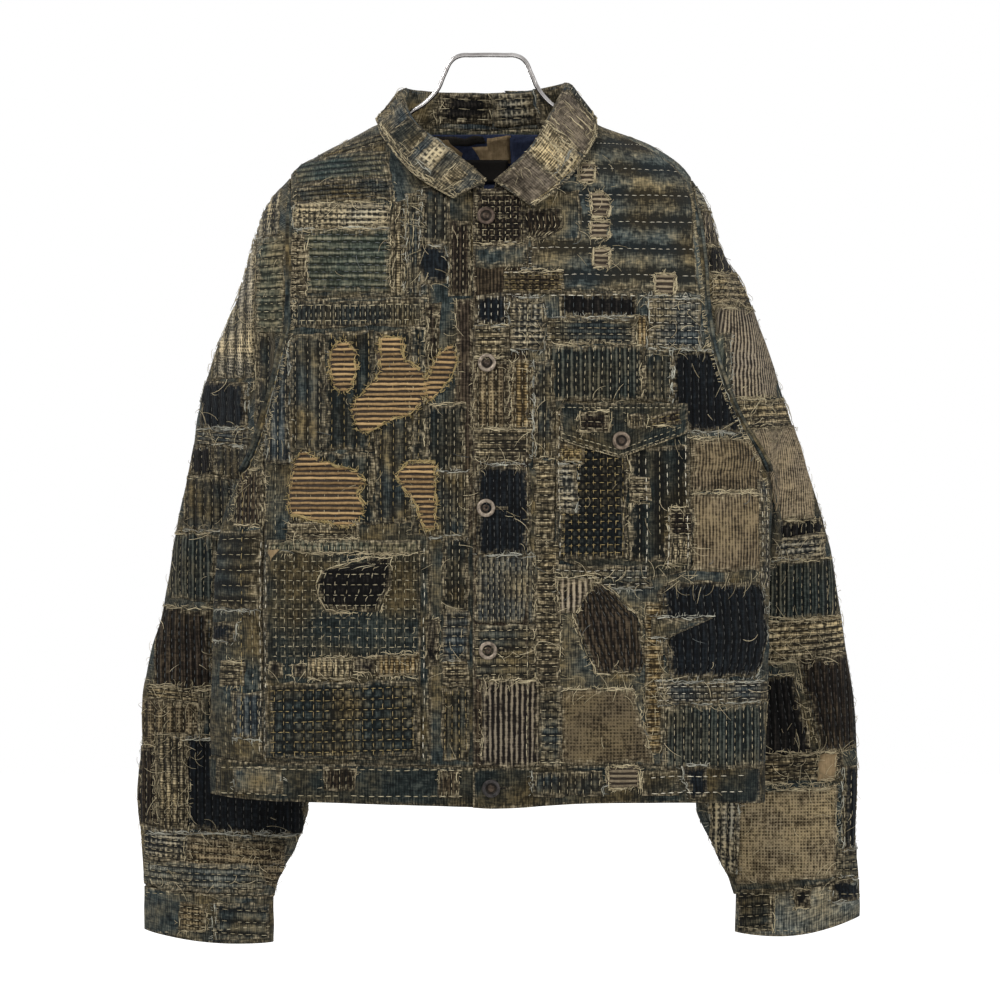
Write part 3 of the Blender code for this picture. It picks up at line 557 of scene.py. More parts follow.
def seen(shells, face, foot, top, step=2.5, columns=200):
    """The Ground that a straight front (-1) or back (+1) view of some shells sees, foot to top, in mm."""
    points, faces, count = [], [], 0
    for outer, grid_faces in shells:
        points.append(outer.reshape(-1, 3))
        faces.append(grid_faces + count)
        count += len(points[-1])
    points, faces = np.concatenate(points), np.concatenate(faces)
    tree = BVHTree.FromPolygons(points.tolist(), faces.tolist())
    p, q = (np.concatenate([points[faces[:, (k + step) % 4]] for k in range(4)]) for step in (0, 1))
    heights = points[:, 2] / MM
    b = np.arange(max(foot, heights.min() + 2), min(top, heights.max() - 2), step)
    grid, limits = np.full((len(b), columns, 3), np.nan), []
    shares, way = (1 - np.cos(np.linspace(0, pi, columns))) / 2, Vector((0, -face, 0))
    for row, z in enumerate(b * MM):
        low, high = section(p, q, z)
        limits.append((low, high))
        for k, x in enumerate(low + (high - low) * shares):
            hit = tree.ray_cast(Vector((x, face * 0.5, z)), way)[0]
            if hit is not None:
                grid[row, k] = hit
        grid[row] = filled(grid[row])
    near = np.lib.stride_tricks.sliding_window_view(np.pad(grid[..., 1], 2, mode="edge"), (5, 5))
    middle = np.median(near, axis=(2, 3))
    # a ray that slips through a seam meets the far side: it takes its neighbours' depth
    grid[..., 1] = np.where(np.abs(grid[..., 1] - middle) > SLIPPED, middle, grid[..., 1])
    normal = unit(np.cross(np.gradient(grid, axis=1), np.gradient(grid, axis=0)) * -face)
    low, high = np.array(limits).T / MM
    return Ground(grid, normal, b, low, high, True)


# ---------------------------------------------------------------- patches, stitches, ribs and threads
GRAIN = 4.5        # millimetres between a patch's grid lines
PLY = 0.9          # millimetres that a sewn-on patch stands up
UNDERSIDE = -0.15  # millimetres up of a patch's underside and of a stitch's ends, which are sunk in the cloth
LOST = 0.05        # share of the stitches that are missing
THREAD_SIDES = 3   # flat sides of a thin thread
SHORT = 1e-9       # metres; a step of a thread shorter than this has no direction of its own
HEM = 1.5          # millimetres between a patch's top or foot and its stitches
FUZZ = 0.22        # share of the loose threads named in the tables that is drawn


def edge_line(edge):
    """An edge as a function of b, from such a function, a place, or (b, a) corners from the top down."""
    if isinstance(edge, tuple):
        b, a = (np.array(column, float)[::-1] for column in zip(*edge))
        return lambda at: np.interp(at, b, a)
    return edge if callable(edge) else (lambda b: edge + 0 * np.asarray(b, float))


def torn(s, n, phase, ragged):
    """How far the nth edge of a patch strays at the places s along it."""
    spot = np.stack([s, np.full_like(s, phase), np.full_like(s, 31.0 * n)], -1)
    return ragged * (2.2 * noise(spot, 11.0, 1) + 1.3 * noise(spot, 3.6, 2))


def lay(piece, ground, cloth, left, right, top, foot, tilt=0.0, ragged=1.0, ply=PLY, seam=None):
    """A patch with ragged edges, closed underneath; seam is the way and pitch of the rows that quilt it."""
    left, right = edge_line(left), edge_line(right)
    a0, a1 = left((top + foot) / 2), right((top + foot) / 2)
    nu, nv = max(3, round((a1 - a0) / GRAIN)), max(3, round((top - foot) / GRAIN))
    u, v = np.meshgrid(np.linspace(0, 1, nu + 1), np.linspace(0, 1, nv + 1))
    phase, middle = DRAW.uniform(0, 900), (a0 + a1) / 2
    s, t = a0 + (a1 - a0) * u, top + (foot - top) * v
    edges = [torn(along, n, phase, ragged) for n, along in ((1, s), (2, s), (3, t), (4, t))]
    b = (top + edges[0]) * (1 - v) + (foot + edges[1]) * v + tilt * (s - middle)
    i, j0 = ground.spot(left(b) + edges[2], b)
    i, j1 = ground.spot(right(b) + edges[3], b)
    j = j0 * (1 - u) + j1 * u
    inner = np.minimum(np.minimum(u * nu, (1 - u) * nu), np.minimum(v * nv, (1 - v) * nv))
    edge, under = np.clip(1 - inner / 2.0, 0, 1), ground.spread_lift()
    flat_points, _ = ground.over(i, j, under, 0.0 * u)
    puff = ply * (1 - 0.5 * edge) + 0.25 * noise(flat_points, 0.009, 7) * (1 - edge)
    upper, up = ground.over(i, j, under, puff)
    lower, _ = ground.over(i, j, under, UNDERSIDE + 0 * u)
    along, down, (here_a, here_b) = run_length(upper, 1), run_length(upper, 0), ground.place(i, j)
    deep, half = u.shape[0] // 2, u.shape[1] // 2
    flat = np.stack([(along - along[:, half][:, None]) / MM + here_a[:, half][:, None],
                     (down - down[deep]) / MM - here_b[deep]], -1) + DRAW.uniform(-500, 500, 2)
    rows = np.zeros((*u.shape, 2))
    way, pitch = seam or ("", 1)
    if way in ("v", "g"):
        rows[..., 0] = (here_a - left(b)) / (right(b) - left(b)) * max(1, round((a1 - a0) / pitch))
    if way in ("h", "g"):
        tall = top - foot - 2 * HEM
        rows[..., 1] = (b - tilt * (s - middle) - foot - HEM) / tall * max(1, round(tall / pitch))
    turned = np.sum(np.cross(upper[0, 1] - upper[0, 0], upper[1, 0] - upper[0, 0]) * up[0, 0]) < 0
    piece.add([upper, lower], two_sided(*u.shape, turned=turned), cloth, [flat, flat], [edge, edge],
              DRAW.uniform(0, 1), [rows, rows])
    level = ground.raster_b - tilt * (ground.raster_a - middle)
    inside = ((ground.raster_a > left(ground.raster_b)) & (ground.raster_a < right(ground.raster_b))
              & (level < top) & (level > foot))
    ground.lift = np.where(inside, under + ply, ground.lift)


def tubes(piece, material, paths, ups, side_r, up_r, sides=4, tone=0.5):
    """Many round threads of the same number of points: paths and ups are m x n x 3, the radii n or m x n."""
    m, n = paths.shape[:2]
    along = unit(np.gradient(paths, axis=1), SHORT)
    side = unit(np.cross(along, ups), SHORT)
    up = np.cross(side, along)
    angle = 2 * pi * (np.arange(sides) + 0.5) / sides
    side_r, up_r = (np.broadcast_to(np.asarray(r, float) * MM, (m, n))[..., None, None]
                    for r in (side_r, up_r))
    rings = (paths[:, :, None] + side[:, :, None] * (side_r * np.cos(angle)[:, None])
             + up[:, :, None] * (up_r * np.sin(angle)[:, None]))
    ring, k = np.meshgrid(np.arange(n - 1) * sides, np.arange(sides), indexing="ij")
    after = (k + 1) % sides
    wall = np.stack([ring + k, ring + sides + k, ring + sides + after, ring + after], -1)
    starts = np.arange(m)[:, None, None] * n * sides
    wall = (wall.reshape(1, -1, 4) + starts).reshape(-1, 4)
    caps = np.stack([np.arange(sides), (n - 1) * sides + np.arange(sides)[::-1]])
    caps = (caps[None] + starts).reshape(-1, sides)
    flat = np.stack(np.broadcast_arrays(angle[None, None] * 0.5, run_length(paths, 1)[:, :, None] / MM), -1)
    flat = flat + DRAW.uniform(0, 200, (m, 1, 1, 1))
    shade = np.broadcast_to(DRAW.uniform(0, 1, m)[:, None, None] if tone is None else tone, (m, n, sides))
    piece.add(rings, [wall, caps], material, flat, 0.0, shade)


def sew(piece, ground, thread, left, right, top, foot, way, pitch, tilt=0.0, dash=4.4, gap=2.8, sway=0.8,
        fat=0.42):
    """Running stitches: way v goes down the cloth, h goes across it and g does both."""
    left, right, centre = edge_line(left), edge_line(right), (top + foot) / 2
    wide = right(centre) - left(centre)
    for kind in ("v", "h") if way == "g" else (way,):
        near, far, start, end = (0.0, wide, foot, top) if kind == "v" else (foot, top, 0.0, wide)
        count = max(1, round((far - near) / pitch))
        if end - start < dash + 1:
            continue
        line = near + (np.arange(count) + 0.5) * (far - near) / count
        first = np.arange(start + 0.8, end - dash, dash + gap)
        line, first = (g.reshape(-1) for g in np.meshgrid(line, first, indexing="ij"))
        keep = DRAW.uniform(0, 1, len(line)) > LOST
        line, first = line[keep], first[keep]
        if not len(line):
            continue
        first = first + DRAW.uniform(-0.6, 0.6, len(line))
        long = dash * DRAW.uniform(0.75, 1.2, len(line))
        run = first[:, None] + long[:, None] * np.array([0, 0.5, 1])
        wander = np.stack([run, np.repeat(line[:, None], 3, 1), 0 * run], -1)
        across = line[:, None] + sway * (noise(wander, 24.0, 11) + 0.35 * noise(wander, 7.0, 12))
        a, b = (across, run) if kind == "v" else (run, across)
        b = b + tilt * (a - wide / 2)
        a = left(b) + a * (right(b) - left(b)) / wide
        path, up = ground.at(a, b, np.array([UNDERSIDE, fat * 0.8, UNDERSIDE]) + 0 * a)
        broad, high = [fat * 0.6, fat, fat * 0.6], [fat * 0.55, fat * 0.85, fat * 0.55]
        tubes(piece, thread, path, up, broad, high, THREAD_SIDES, None)


def threads(piece, ground, thread, a, b, heading, length, bend, high, fat=0.34, points=5):
    """Loose ends from (a, b): they set off along a heading, turn by bend and rise by high."""
    s = np.linspace(0, 1, points)
    angle = heading[:, None] + bend[:, None] * s
    step = (length / (points - 1))[:, None]
    x, y = (start[:, None] + np.concatenate([0 * step, np.cumsum(way(angle[:, 1:]) * step, 1)], 1)
            for start, way in ((a, np.cos), (b, np.sin)))
    path, up = ground.at(x, y, 0.2 + high[:, None] * np.sin(s * pi * 0.7))
    path = path + MM * 0.5 * noise(path, 0.004, 21)[..., None] * up
    size = fat * np.linspace(1.0, 0.55, points)
    tubes(piece, thread, path, up, size, size, THREAD_SIDES, None)


def fringe(piece, ground, thread, a0, b0, a1, b1, reach, pitch=3.6, fat=0.34):
    """Frayed ends along an edge, standing out to the right hand of the way along it."""
    n = max(2, int(np.hypot(a1 - a0, b1 - b0) / pitch))
    t = DRAW.uniform(0, 1, n)
    out, rooted = np.arctan2(b1 - b0, a1 - a0) - pi / 2, 0.8
    a, b = a0 + (a1 - a0) * t - rooted * np.cos(out), b0 + (b1 - b0) * t - rooted * np.sin(out)
    length = reach * DRAW.uniform(0.2, 1.1, n)
    threads(piece, ground, thread, a, b, out + DRAW.normal(0, 0.45, n), length, DRAW.normal(0, 0.6, n),
            DRAW.uniform(0.1, 1.0, n), fat, 4)


def ravel(piece, ground, thread, a0, b0, a1, b1, pitch=5.0, fat=0.46, broad=1.5):
    """Strands that snake along a worn edge, one begun every pitch."""
    long = max(np.hypot(a1 - a0, b1 - b0), 1.0)
    n, s = max(2, int(long / pitch)), np.linspace(0, 1, 8)
    start, reach = DRAW.uniform(-0.05, 0.9, n) * long, DRAW.uniform(7.0, 19.0, n)
    run = np.minimum(start[:, None] + reach[:, None] * s, long)
    seed = DRAW.uniform(0, 900, n)[:, None]
    spot = np.stack([run, seed + 0 * run, 0 * run], -1)
    off = DRAW.uniform(-broad, broad, n)[:, None] + 1.3 * noise(spot, 6.0, 31) + 0.9 * noise(spot, 2.6, 32)
    along, across = ((a1 - a0) / long, (b1 - b0) / long), ((b1 - b0) / long, -(a1 - a0) / long)
    a, b = a0 + along[0] * run + across[0] * off, b0 + along[1] * run + across[1] * off
    path, up = ground.at(a, b, 0.35 + 0.45 * noise(spot, 4.0, 33))
    size = fat * DRAW.uniform(0.7, 1.15, n)[:, None] * np.array([0.5, 0.9, 1, 1, 1, 1, 0.9, 0.5])
    tubes(piece, thread, path, up, size, size, THREAD_SIDES, None)


def fuzz(piece, ground, thread, a0, a1, top, foot, many, length=11.0, heading=None, fat=0.32):
    """Loose threads lying over a worn place."""
    n = max(3, round(FUZZ * many))
    way = DRAW.uniform(0, 2 * pi, n) if heading is None else heading + DRAW.normal(0, 0.4, n)
    threads(piece, ground, thread, DRAW.uniform(a0, a1, n), DRAW.uniform(foot, top, n), way,
            length * DRAW.uniform(0.5, 1.9, n), DRAW.normal(0, 1.1, n), DRAW.uniform(0.2, 1.2, n), fat, 6)


def ribs(piece, ground, yarn, a0, a1, top, foot, pitch, uneven=1.2, fill=0.285, tall=1.15):
    """Level yarns laid side by side over a worn-through place."""
    count = max(1, round((top - foot) / pitch))
    for k in range(count):
        line = foot + (k + 0.5) * (top - foot) / count
        lo, hi = a0 + DRAW.uniform(-uneven, uneven), a1 + DRAW.uniform(-uneven, uneven)
        n = max(4, int((hi - lo) / 3.2))
        run = np.linspace(lo, hi, n)
        wander = np.stack([run, np.full(n, line * 3.1), np.full(n, 7.0)], -1)
        across = line + 0.35 * noise(wander, 11.0, 13) + 0.2 * noise(wander, 3.5, 14)
        path, up = ground.at(run, across, 0.35 + 0.25 * noise(wander, 6.0, 15))
        taper = np.clip(np.minimum(np.arange(n), np.arange(n)[::-1]), 0.35, 1)
        fat = pitch * fill * taper * (1 + 0.18 * noise(wander, 5.0, 16))
        tubes(piece, yarn, path[None], up[None], fat[None], (tall * taper)[None], 5, DRAW.uniform(0, 1))


def hole(piece, ground, outline, yarn="rib_yarn", edge="gold_thread", pitch=4.6):
    """A torn place darned with level ribs.  outline is (b, left, right) from the top down."""
    b, left, right = (np.array(column, float)[::-1] for column in zip(*outline))

    def side(places):
        def at_height(at):
            spot = np.stack([at, 0 * at + places[0], 0 * at], -1)
            return np.interp(at, b, places) + 1.5 * noise(spot, 5.0, 41)
        return at_height
    top, foot = b[-1], b[0]
    lay(piece, ground, "hole_dark", side(left), side(right), top, foot, ragged=1.2, ply=0.2)
    for line in np.arange(foot + 0.5 * pitch, top, pitch):
        ribs(piece, ground, yarn, float(side(left)(line)), float(side(right)(line)), line + pitch / 2,
             line - pitch / 2, pitch)
    corners = [(l, b) for b, l, r in outline[::-1]] + [(r, b) for b, l, r in outline]
    for (a0, b0), (a1, b1) in zip(corners, corners[1:] + corners[:1]):
        ravel(piece, ground, edge, a0, b0, a1, b1, pitch=2.2, fat=0.50, broad=1.2)
        for reach in (4.2, -4.2):
            fringe(piece, ground, edge, a0, b0, a1, b1, reach, pitch=2.6)


def frays(piece, ground, thread, left, right, top, foot, sides, reach=4.5):
    """Worn edges on the named sides (t, b, l, r) of a patch."""
    left, right = edge_line(left), edge_line(right)
    lines = {"t": (left(top), top, right(top), top), "b": (right(foot), foot, left(foot), foot),
             "l": (left(foot), foot, left(top), top), "r": (right(top), top, right(foot), foot)}
    for side in sides:
        a0, b0, a1, b1 = lines[side]
        stops = np.linspace(b0, b1, max(1, round(abs(b1 - b0) / 14)) + 1)
        between = [float({"l": left, "r": right}[side](b)) for b in stops[1:-1]] if side in "lr" else []
        spots = [a0, *between, a1]
        for p, q, low, high in zip(spots, spots[1:], stops, stops[1:]):
            if DRAW.uniform() > 0.8:
                continue
            ravel(piece, ground, thread, p, low, q, high)
            fringe(piece, ground, thread, p, low, q, high, -reach)


def patch(cloths, stitches, ground, row):
    """One row of a patch table: the patch, its rows of stitches and its frayed sides."""
    cloth, left, right, top, foot, tilt, seam, frayed = row
    left, right = edge_line(left), edge_line(right)
    lay(cloths, ground, cloth, left, right, top, foot, tilt, seam=seam and seam[:2])
    if seam:
        way, pitch, thread = seam
        fat = 0.27 if thread == THIN else 0.37
        sew(stitches, ground, thread, left, right, top - HEM, foot + HEM, way, pitch, tilt, fat=fat)
    frays(stitches, ground, MIST if cloth in BLUE_CLOTHS else BEIGE, left, right, top, foot, frayed)


def quilt(cloths, stitches, ground, top, foot, tilt=0.0, shares=(0.0, 1.0), rows=(36, 68), widths=(34, 78)):
    """Random patches over a part that the photograph doesn't show, of the same cloths and sizes."""
    b = top
    while b > foot + 12:
        deep = DRAW.uniform(*rows)
        if b - deep < foot + 18:
            deep = b - foot
        middle, q = b - deep / 2, shares[0]
        span = float(ground.share(1.0)(middle) - ground.share(0.0)(middle))
        while q < shares[1] - 1e-6:
            after = q + DRAW.uniform(*widths) / span
            after = shares[1] if after > shares[1] - 0.5 * widths[0] / span else after
            cloth, *seam = QUILTED[int(DRAW.integers(len(QUILTED)))]
            sides = "".join(DRAW.permutation(list("tblr"))[:int(DRAW.integers(1, 3))])
            row = (cloth, ground.share(q), ground.share(after), b, b - deep, tilt, seam, sides)
            patch(cloths, stitches, ground, row)
            q = after
        b -= deep


# ---------------------------------------------------------------- materials


class Graph:
    """The nodes of a material or of the world, written as short expressions."""

    def __init__(self, owner):
        owner.use_nodes = True
        self.owner, self.tree = owner, owner.node_tree
        self.tree.nodes.clear()

    def node(self, kind, inputs=(), **settings):
        item = self.tree.nodes.new("ShaderNode" + kind)
        for key, value in settings.items():
            setattr(item, key, value)
        for key, value in dict(inputs).items():
            if isinstance(value, bpy.types.NodeSocket):
                self.tree.links.new(value, item.inputs[key])
            else:
                item.inputs[key].default_value = value
        return item

    def cloth_map(self):
        """The cloth map, in millimetres, and its two axes."""
        place = self.node("UVMap", uv_map="weave").outputs[0]
        return place, self.node("SeparateXYZ", {0: place}).outputs

    def value_of(self, attribute):
        return self.node("Attribute", attribute_name=attribute).outputs["Fac"]

    def maths(self, kind, a, b=0.0, clamp=False):
        return self.node("Math", {0: a, 1: b}, operation=kind, use_clamp=clamp).outputs[0]

    def sum(self, base, *terms):
        """base plus each weight times (its value less a middle)."""
        total = base
        for weight, value, middle in terms:
            part = self.maths("MULTIPLY", self.maths("SUBTRACT", value, middle), weight)
            total = self.maths("ADD", part, total)
        return total

    def noise(self, place, scale, detail=2.0, rough=0.55):
        inputs = {"Vector": place, "Scale": scale, "Detail": detail, "Roughness": rough}
        return self.node("TexNoise", inputs).outputs[0]

    def stretched(self, place, x, y):
        return self.node("VectorMath", {0: place, 1: (x, y, 1.0)}, operation="MULTIPLY").outputs[0]

    def wave(self, value, pitch, wobble=None, amount=0.0):
        """Sine of a coordinate in millimetres, pushed about by a noise."""
        if wobble is not None:
            value = self.sum(value, (amount, wobble, 0.5))
        return self.maths("SINE", self.maths("MULTIPLY", value, 2 * pi / pitch))

    def ramp(self, value, stops):
        item = self.node("ValToRGB", {0: value})
        line, stops = item.color_ramp, list(stops)
        while len(line.elements) < len(stops):
            line.elements.new(0.5)
        for element, (spot, colour) in zip(line.elements, stops):
            element.position, element.color = spot, (*colour, 1.0)
        return item.outputs[0]

    def mix(self, share, a, b):
        a, b = ((*c, 1.0) if isinstance(c, tuple) else c for c in (a, b))
        return self.node("Mix", {0: share, 6: a, 7: b}, data_type="RGBA").outputs[2]

    def blend(self, value, a, b):
        """From a to b as a value goes from 0 to 1, and no further."""
        return self.mix(self.maths("ADD", value, 0.0, True), a, b)

    def finish(self, colour, height, bump, depth, **sockets):
        """The surface: its colour, its relief with strength and depth in metres, and sockets by name."""
        relief = self.node("Bump", {"Height": height, "Strength": bump, "Distance": depth}).outputs[0]
        inputs = {key.replace("_", " "): value for key, value in sockets.items()}
        surface = self.node("BsdfPrincipled", {"Base Color": colour, "Normal": relief, **inputs})
        self.node("OutputMaterial", {0: surface.outputs[0]})
        return self.owner


FRAY = ((0.014, 0.012, 0.008), (0.100, 0.081, 0.049), (0.56, 0.47, 0.305))
STAIN = (2.05, 1.50, 0.66)     # red, green and blue of a khaki stain, times the cloth's own lightness
# cloths: dark, middle and light colour, then the pattern (v, h or c for check), its pitch in mm and strength,
# and how far khaki stains show
CLOTHS = {
    "indigo": ((0.004, 0.006, 0.006), (0.020, 0.028, 0.028), (0.084, 0.098, 0.088), "v", 2.6, 0.10, 0.85),
    "teal": ((0.009, 0.015, 0.015), (0.038, 0.056, 0.053), (0.13, 0.155, 0.130), "v", 2.6, 0.08, 0.55),
    "olive": ((0.014, 0.019, 0.014), (0.072, 0.086, 0.066), (0.20, 0.205, 0.150), "h", 4.4, 0.16, 0.5),
    "navy": ((0.0010, 0.0014, 0.0018), (0.0028, 0.0044, 0.0062), (0.013, 0.018, 0.022), "v", 3.8, 0.16, 0.1),
    "black": ((0.0012, 0.0011, 0.0010), (0.0050, 0.0044, 0.0040), (0.024, 0.021, 0.018), "v", 3.4, 0.16, 0.1),
    "ink": ((0.0018, 0.0026, 0.003), (0.0068, 0.0098, 0.0106), (0.038, 0.041, 0.035), "v", 2.8, 0.12, 0.5),
    "deep": ((0.003, 0.0042, 0.0042), (0.0115, 0.0165, 0.016), (0.054, 0.062, 0.053), "v", 2.6, 0.1, 0.85),
    "brown": ((0.005, 0.0035, 0.0025), (0.019, 0.0135, 0.0090), (0.078, 0.058, 0.040), "v", 3.2, 0.22, 0.3),
    "cord": ((0.008, 0.006, 0.004), (0.090, 0.071, 0.052), (0.36, 0.30, 0.22), "v", 5.4, 0.46, 0.15),
    "rib": ((0.008, 0.006, 0.0035), (0.078, 0.058, 0.034), (0.235, 0.182, 0.112), "v", 3.3, 0.30, 0.2),
    "wale": ((0.010, 0.0075, 0.0045), (0.120, 0.092, 0.059), (0.36, 0.288, 0.19), "v", 3.3, 0.30, 0.2),
    "heather": ((0.018, 0.014, 0.010), (0.066, 0.053, 0.039), (0.20, 0.165, 0.125), "v", 2.2, 0.08, 0.2),
    "faded": ((0.011, 0.015, 0.016), (0.064, 0.079, 0.075), (0.215, 0.22, 0.18), "", 1.0, 0.0, 0.7),
    "check": ((0.015, 0.011, 0.006), (0.098, 0.074, 0.043), (0.31, 0.25, 0.155), "c", 3.1, 0.26, 0.3),
    "tweed": ((0.008, 0.006, 0.0035), (0.043, 0.032, 0.018), (0.135, 0.104, 0.062), "c", 3.1, 0.26, 0.3),
    "plaid": ((0.010, 0.011, 0.011), (0.078, 0.075, 0.060), (0.44, 0.40, 0.30), "c", 5.2, 0.28, 0.45),
    "fray": (*FRAY, "h", 2.4, 0.12, 0.4),
    "denim": ((0.006, 0.008, 0.0085), (0.027, 0.036, 0.036), (0.110, 0.124, 0.110), "v", 2.2, 0.10, 0.85),
    "green": ((0.004, 0.006, 0.006), (0.022, 0.030, 0.027), (0.080, 0.090, 0.076), "v", 4.2, 0.36, 0.4),
    "bluegrey": ((0.008, 0.011, 0.013), (0.042, 0.054, 0.058), (0.19, 0.20, 0.180), "v", 2.6, 0.12, 0.6),
    "stripe": ((0.006, 0.0045, 0.004), (0.026, 0.020, 0.015), (0.24, 0.20, 0.145), "v", 5.0, 0.50, 0.1),
    "linen": ((0.026, 0.024, 0.018), (0.20, 0.178, 0.130), (0.60, 0.53, 0.40), "c", 3.4, 0.30, 0.4),
    "ochre": ((0.024, 0.016, 0.007), (0.165, 0.115, 0.050), (0.50, 0.37, 0.19), "h", 2.6, 0.20, 0.2),
    "pale": ((0.014, 0.018, 0.018), (0.085, 0.094, 0.085), (0.27, 0.28, 0.235), "v", 2.4, 0.10, 0.7),
    "tan": ((0.16, 0.110, 0.056), (0.30, 0.215, 0.118), (0.40, 0.30, 0.18), "", 1.0, 0.0, 0.0),
    "lining_blue": ((0.015, 0.020, 0.042), (0.030, 0.039, 0.076), (0.052, 0.063, 0.11), "", 1.0, 0.0, 0.0),
    "lining_grey": ((0.018, 0.016, 0.014), (0.036, 0.032, 0.027), (0.065, 0.058, 0.048), "", 1.0, 0.0, 0.0)}
CLEAN = ("tan", "lining_blue", "lining_grey")
BLUE_CLOTHS = ("teal", "navy", "denim", "bluegrey", "pale", "plaid")    # their frays are paler and bluer
CREAM, GOLD, PALE, BEIGE = "cream_thread", "gold_thread", "pale_thread", "beige_thread"
BLUE, THIN, MIST, RIB_YARN, DULL_YARN = "blue_thread", "thin_thread", "mist_thread", "rib_yarn", "dull_yarn"
# threads: colour of one strand and of another
THREADS = {
    CREAM: ((0.30, 0.25, 0.15), (0.60, 0.53, 0.36)),
    GOLD: ((0.22, 0.165, 0.065), (0.52, 0.40, 0.19)),
    PALE: ((0.50, 0.45, 0.34), (0.78, 0.72, 0.58)),
    BEIGE: ((0.16, 0.127, 0.070), (0.70, 0.60, 0.39)),
    BLUE: ((0.045, 0.058, 0.065), (0.17, 0.18, 0.17)),
    RIB_YARN: ((0.11, 0.066, 0.028), (0.46, 0.305, 0.142)),
    DULL_YARN: ((0.09, 0.070, 0.045), (0.36, 0.29, 0.19)),
    MIST: ((0.12, 0.125, 0.115), (0.60, 0.58, 0.47)),
    THIN: ((0.05, 0.054, 0.054), (0.17, 0.17, 0.155))}
SHADES = (0.10, 0.48, 0.92)    # where the dark, middle and light colours of a cloth lie along its mottle
TONE = 0.26                    # how much one patch of a cloth is lighter than another


def khaki_of(colour):
    """The khaki that a stain turns a colour of a cloth."""
    lightness = 0.21 * colour[0] + 0.72 * colour[1] + 0.07 * colour[2]
    return tuple(lightness * k for k in STAIN)


def quilted_crest(g):
    """1 between the rows of running stitches and 0 along them."""
    rows = g.node("SeparateXYZ", {0: g.node("UVMap", uv_map="rows").outputs[0]}).outputs
    crests = [g.maths("ABSOLUTE", g.maths("COSINE", g.maths("MULTIPLY", rows[k], pi))) for k in (0, 1)]
    return g.maths("MINIMUM", *crests)


def fabric(name, dark, middle, light, pattern, pitch, strength, stained):
    """Worn woven cloth: mottle with painted shade in the grooves along the rows of quilting stitches,
    streaks, ribs or checks, weave relief, and frayed pale edges.  The scale of a noise is 1 over its size in
    millimetres."""
    g, clean = Graph(bpy.data.materials.new(name)), name in CLEAN
    place, axes = g.cloth_map()
    wear, tone, crest_relief_and_shade = g.value_of("wear"), g.value_of("tone"), quilted_crest(g)
    broad, patchy = g.noise(place, 1 / 26, 3.0), g.noise(place, 1 / 4.6, 2.0, 0.6)
    lump = g.noise(place, 1 / 9)
    warp = g.noise(g.stretched(place, 1 / 1.7, 1 / 11), 1.0, 1.0)
    weft = g.noise(g.stretched(place, 1 / 10, 1 / 1.7), 1.0, 1.0)
    # the crest term paints shade into the colour along the stitch rows and a little painted light between
    # them; in the relief below it raises the crests
    terms = [(1.0, broad, 0.5), (1.0, patchy, 0.5), (0.5, lump, 0.5), (1.0, warp, 0.5), (0.8, weft, 0.5),
             (TONE, tone, 0.5), (0.75, crest_relief_and_shade, 0.8)]
    if clean:
        terms = [(0.6, broad, 0.5), (0.5, patchy, 0.5), (0.4, warp, 0.5)]
    weave = g.maths("MULTIPLY", g.wave(axes[0], 1.3), g.wave(axes[1], 1.3))
    relief = [(0.2, weave, 0.0), (1.2, patchy, 0.5), (0.8, warp, 0.5), (0.6, weft, 0.5), (1.1, lump, 0.5),
              (1.9, crest_relief_and_shade, 0.5)]
    if pattern:
        ribs_v, ribs_h = (g.wave(axes[k], pitch, g.noise(place, 1 / 14), 1.0) for k in (0, 1))
        bands = {"v": ribs_v, "h": ribs_h}.get(pattern) or g.maths("MAXIMUM", ribs_v, ribs_h)
        terms.append((strength, bands, 0.0))
        relief.append((0.9 * strength + 0.1, bands, 0.0))
    value, dye = g.sum(0.365, *terms), (dark, middle, light)
    colour = g.ramp(value, zip(SHADES, dye))
    if not clean:
        stain = g.sum(0.5, (1.5, g.noise(place, 1 / 55, 1.0), 0.5), (0.7, broad, 0.5), (0.3, patchy, 0.5))
        stain = g.maths("MULTIPLY", g.node("MapRange", {0: stain, 1: 0.30, 2: 0.80}).outputs[0], stained)
        colour = g.mix(stain, colour, g.ramp(value, zip(SHADES, map(khaki_of, dye))))
        worn = g.sum(0.0, (1.3, wear, 0.0), (1.0, broad, 0.5), (0.8, lump, 0.5), (1.4, patchy, 0.5),
                     (0.5, warp, 0.5))
        worn = g.maths("MULTIPLY", g.node("MapRange", {0: worn, 1: 0.55, 2: 1.35}).outputs[0], 0.85)
        streaks = g.sum(0.46, (1.2, warp, 0.5), (1.2, weft, 0.5), (0.8, patchy, 0.5))
        colour = g.mix(worn, colour, g.ramp(streaks, zip(SHADES, FRAY)))
    return g.finish(colour, g.sum(0.5, *relief), 1.0, 0.0011, Roughness=0.95, Specular_IOR_Level=0.10,
                    Sheen_Weight=0.03)


def strand(name, dull, bright):
    """Cotton thread: colour by strand, with a twist."""
    g = Graph(bpy.data.materials.new(name))
    place, axes = g.cloth_map()
    tone, twist = g.value_of("tone"), g.wave(g.maths("ADD", axes[0], axes[1]), 1.1)
    value = g.sum(0.5, (0.8, tone, 0.5), (0.9, g.noise(place, 1 / 3.0), 0.5), (0.12, twist, 0.0))
    return g.finish(g.blend(value, dull, bright), twist, 0.5, 0.0002, Roughness=0.9, Specular_IOR_Level=0.2)


def plain_metal(name, dark, light, metallic=0.8, rough=0.45, scale=260.0):
    """Metal whose colour and gloss vary with handling."""
    g = Graph(bpy.data.materials.new(name))
    place = g.node("TexCoord").outputs["Object"]
    stain, fine = g.noise(place, scale, 3.0), g.noise(place, scale * 7)
    value = g.sum(0.5, (2.2, stain, 0.5), (0.8, fine, 0.5))
    gloss = g.sum(rough, (0.35, fine, 0.5), (0.25, stain, 0.5))
    return g.finish(g.blend(value, dark, light), fine, 0.25, 0.0002, Metallic=metallic, Roughness=gloss)


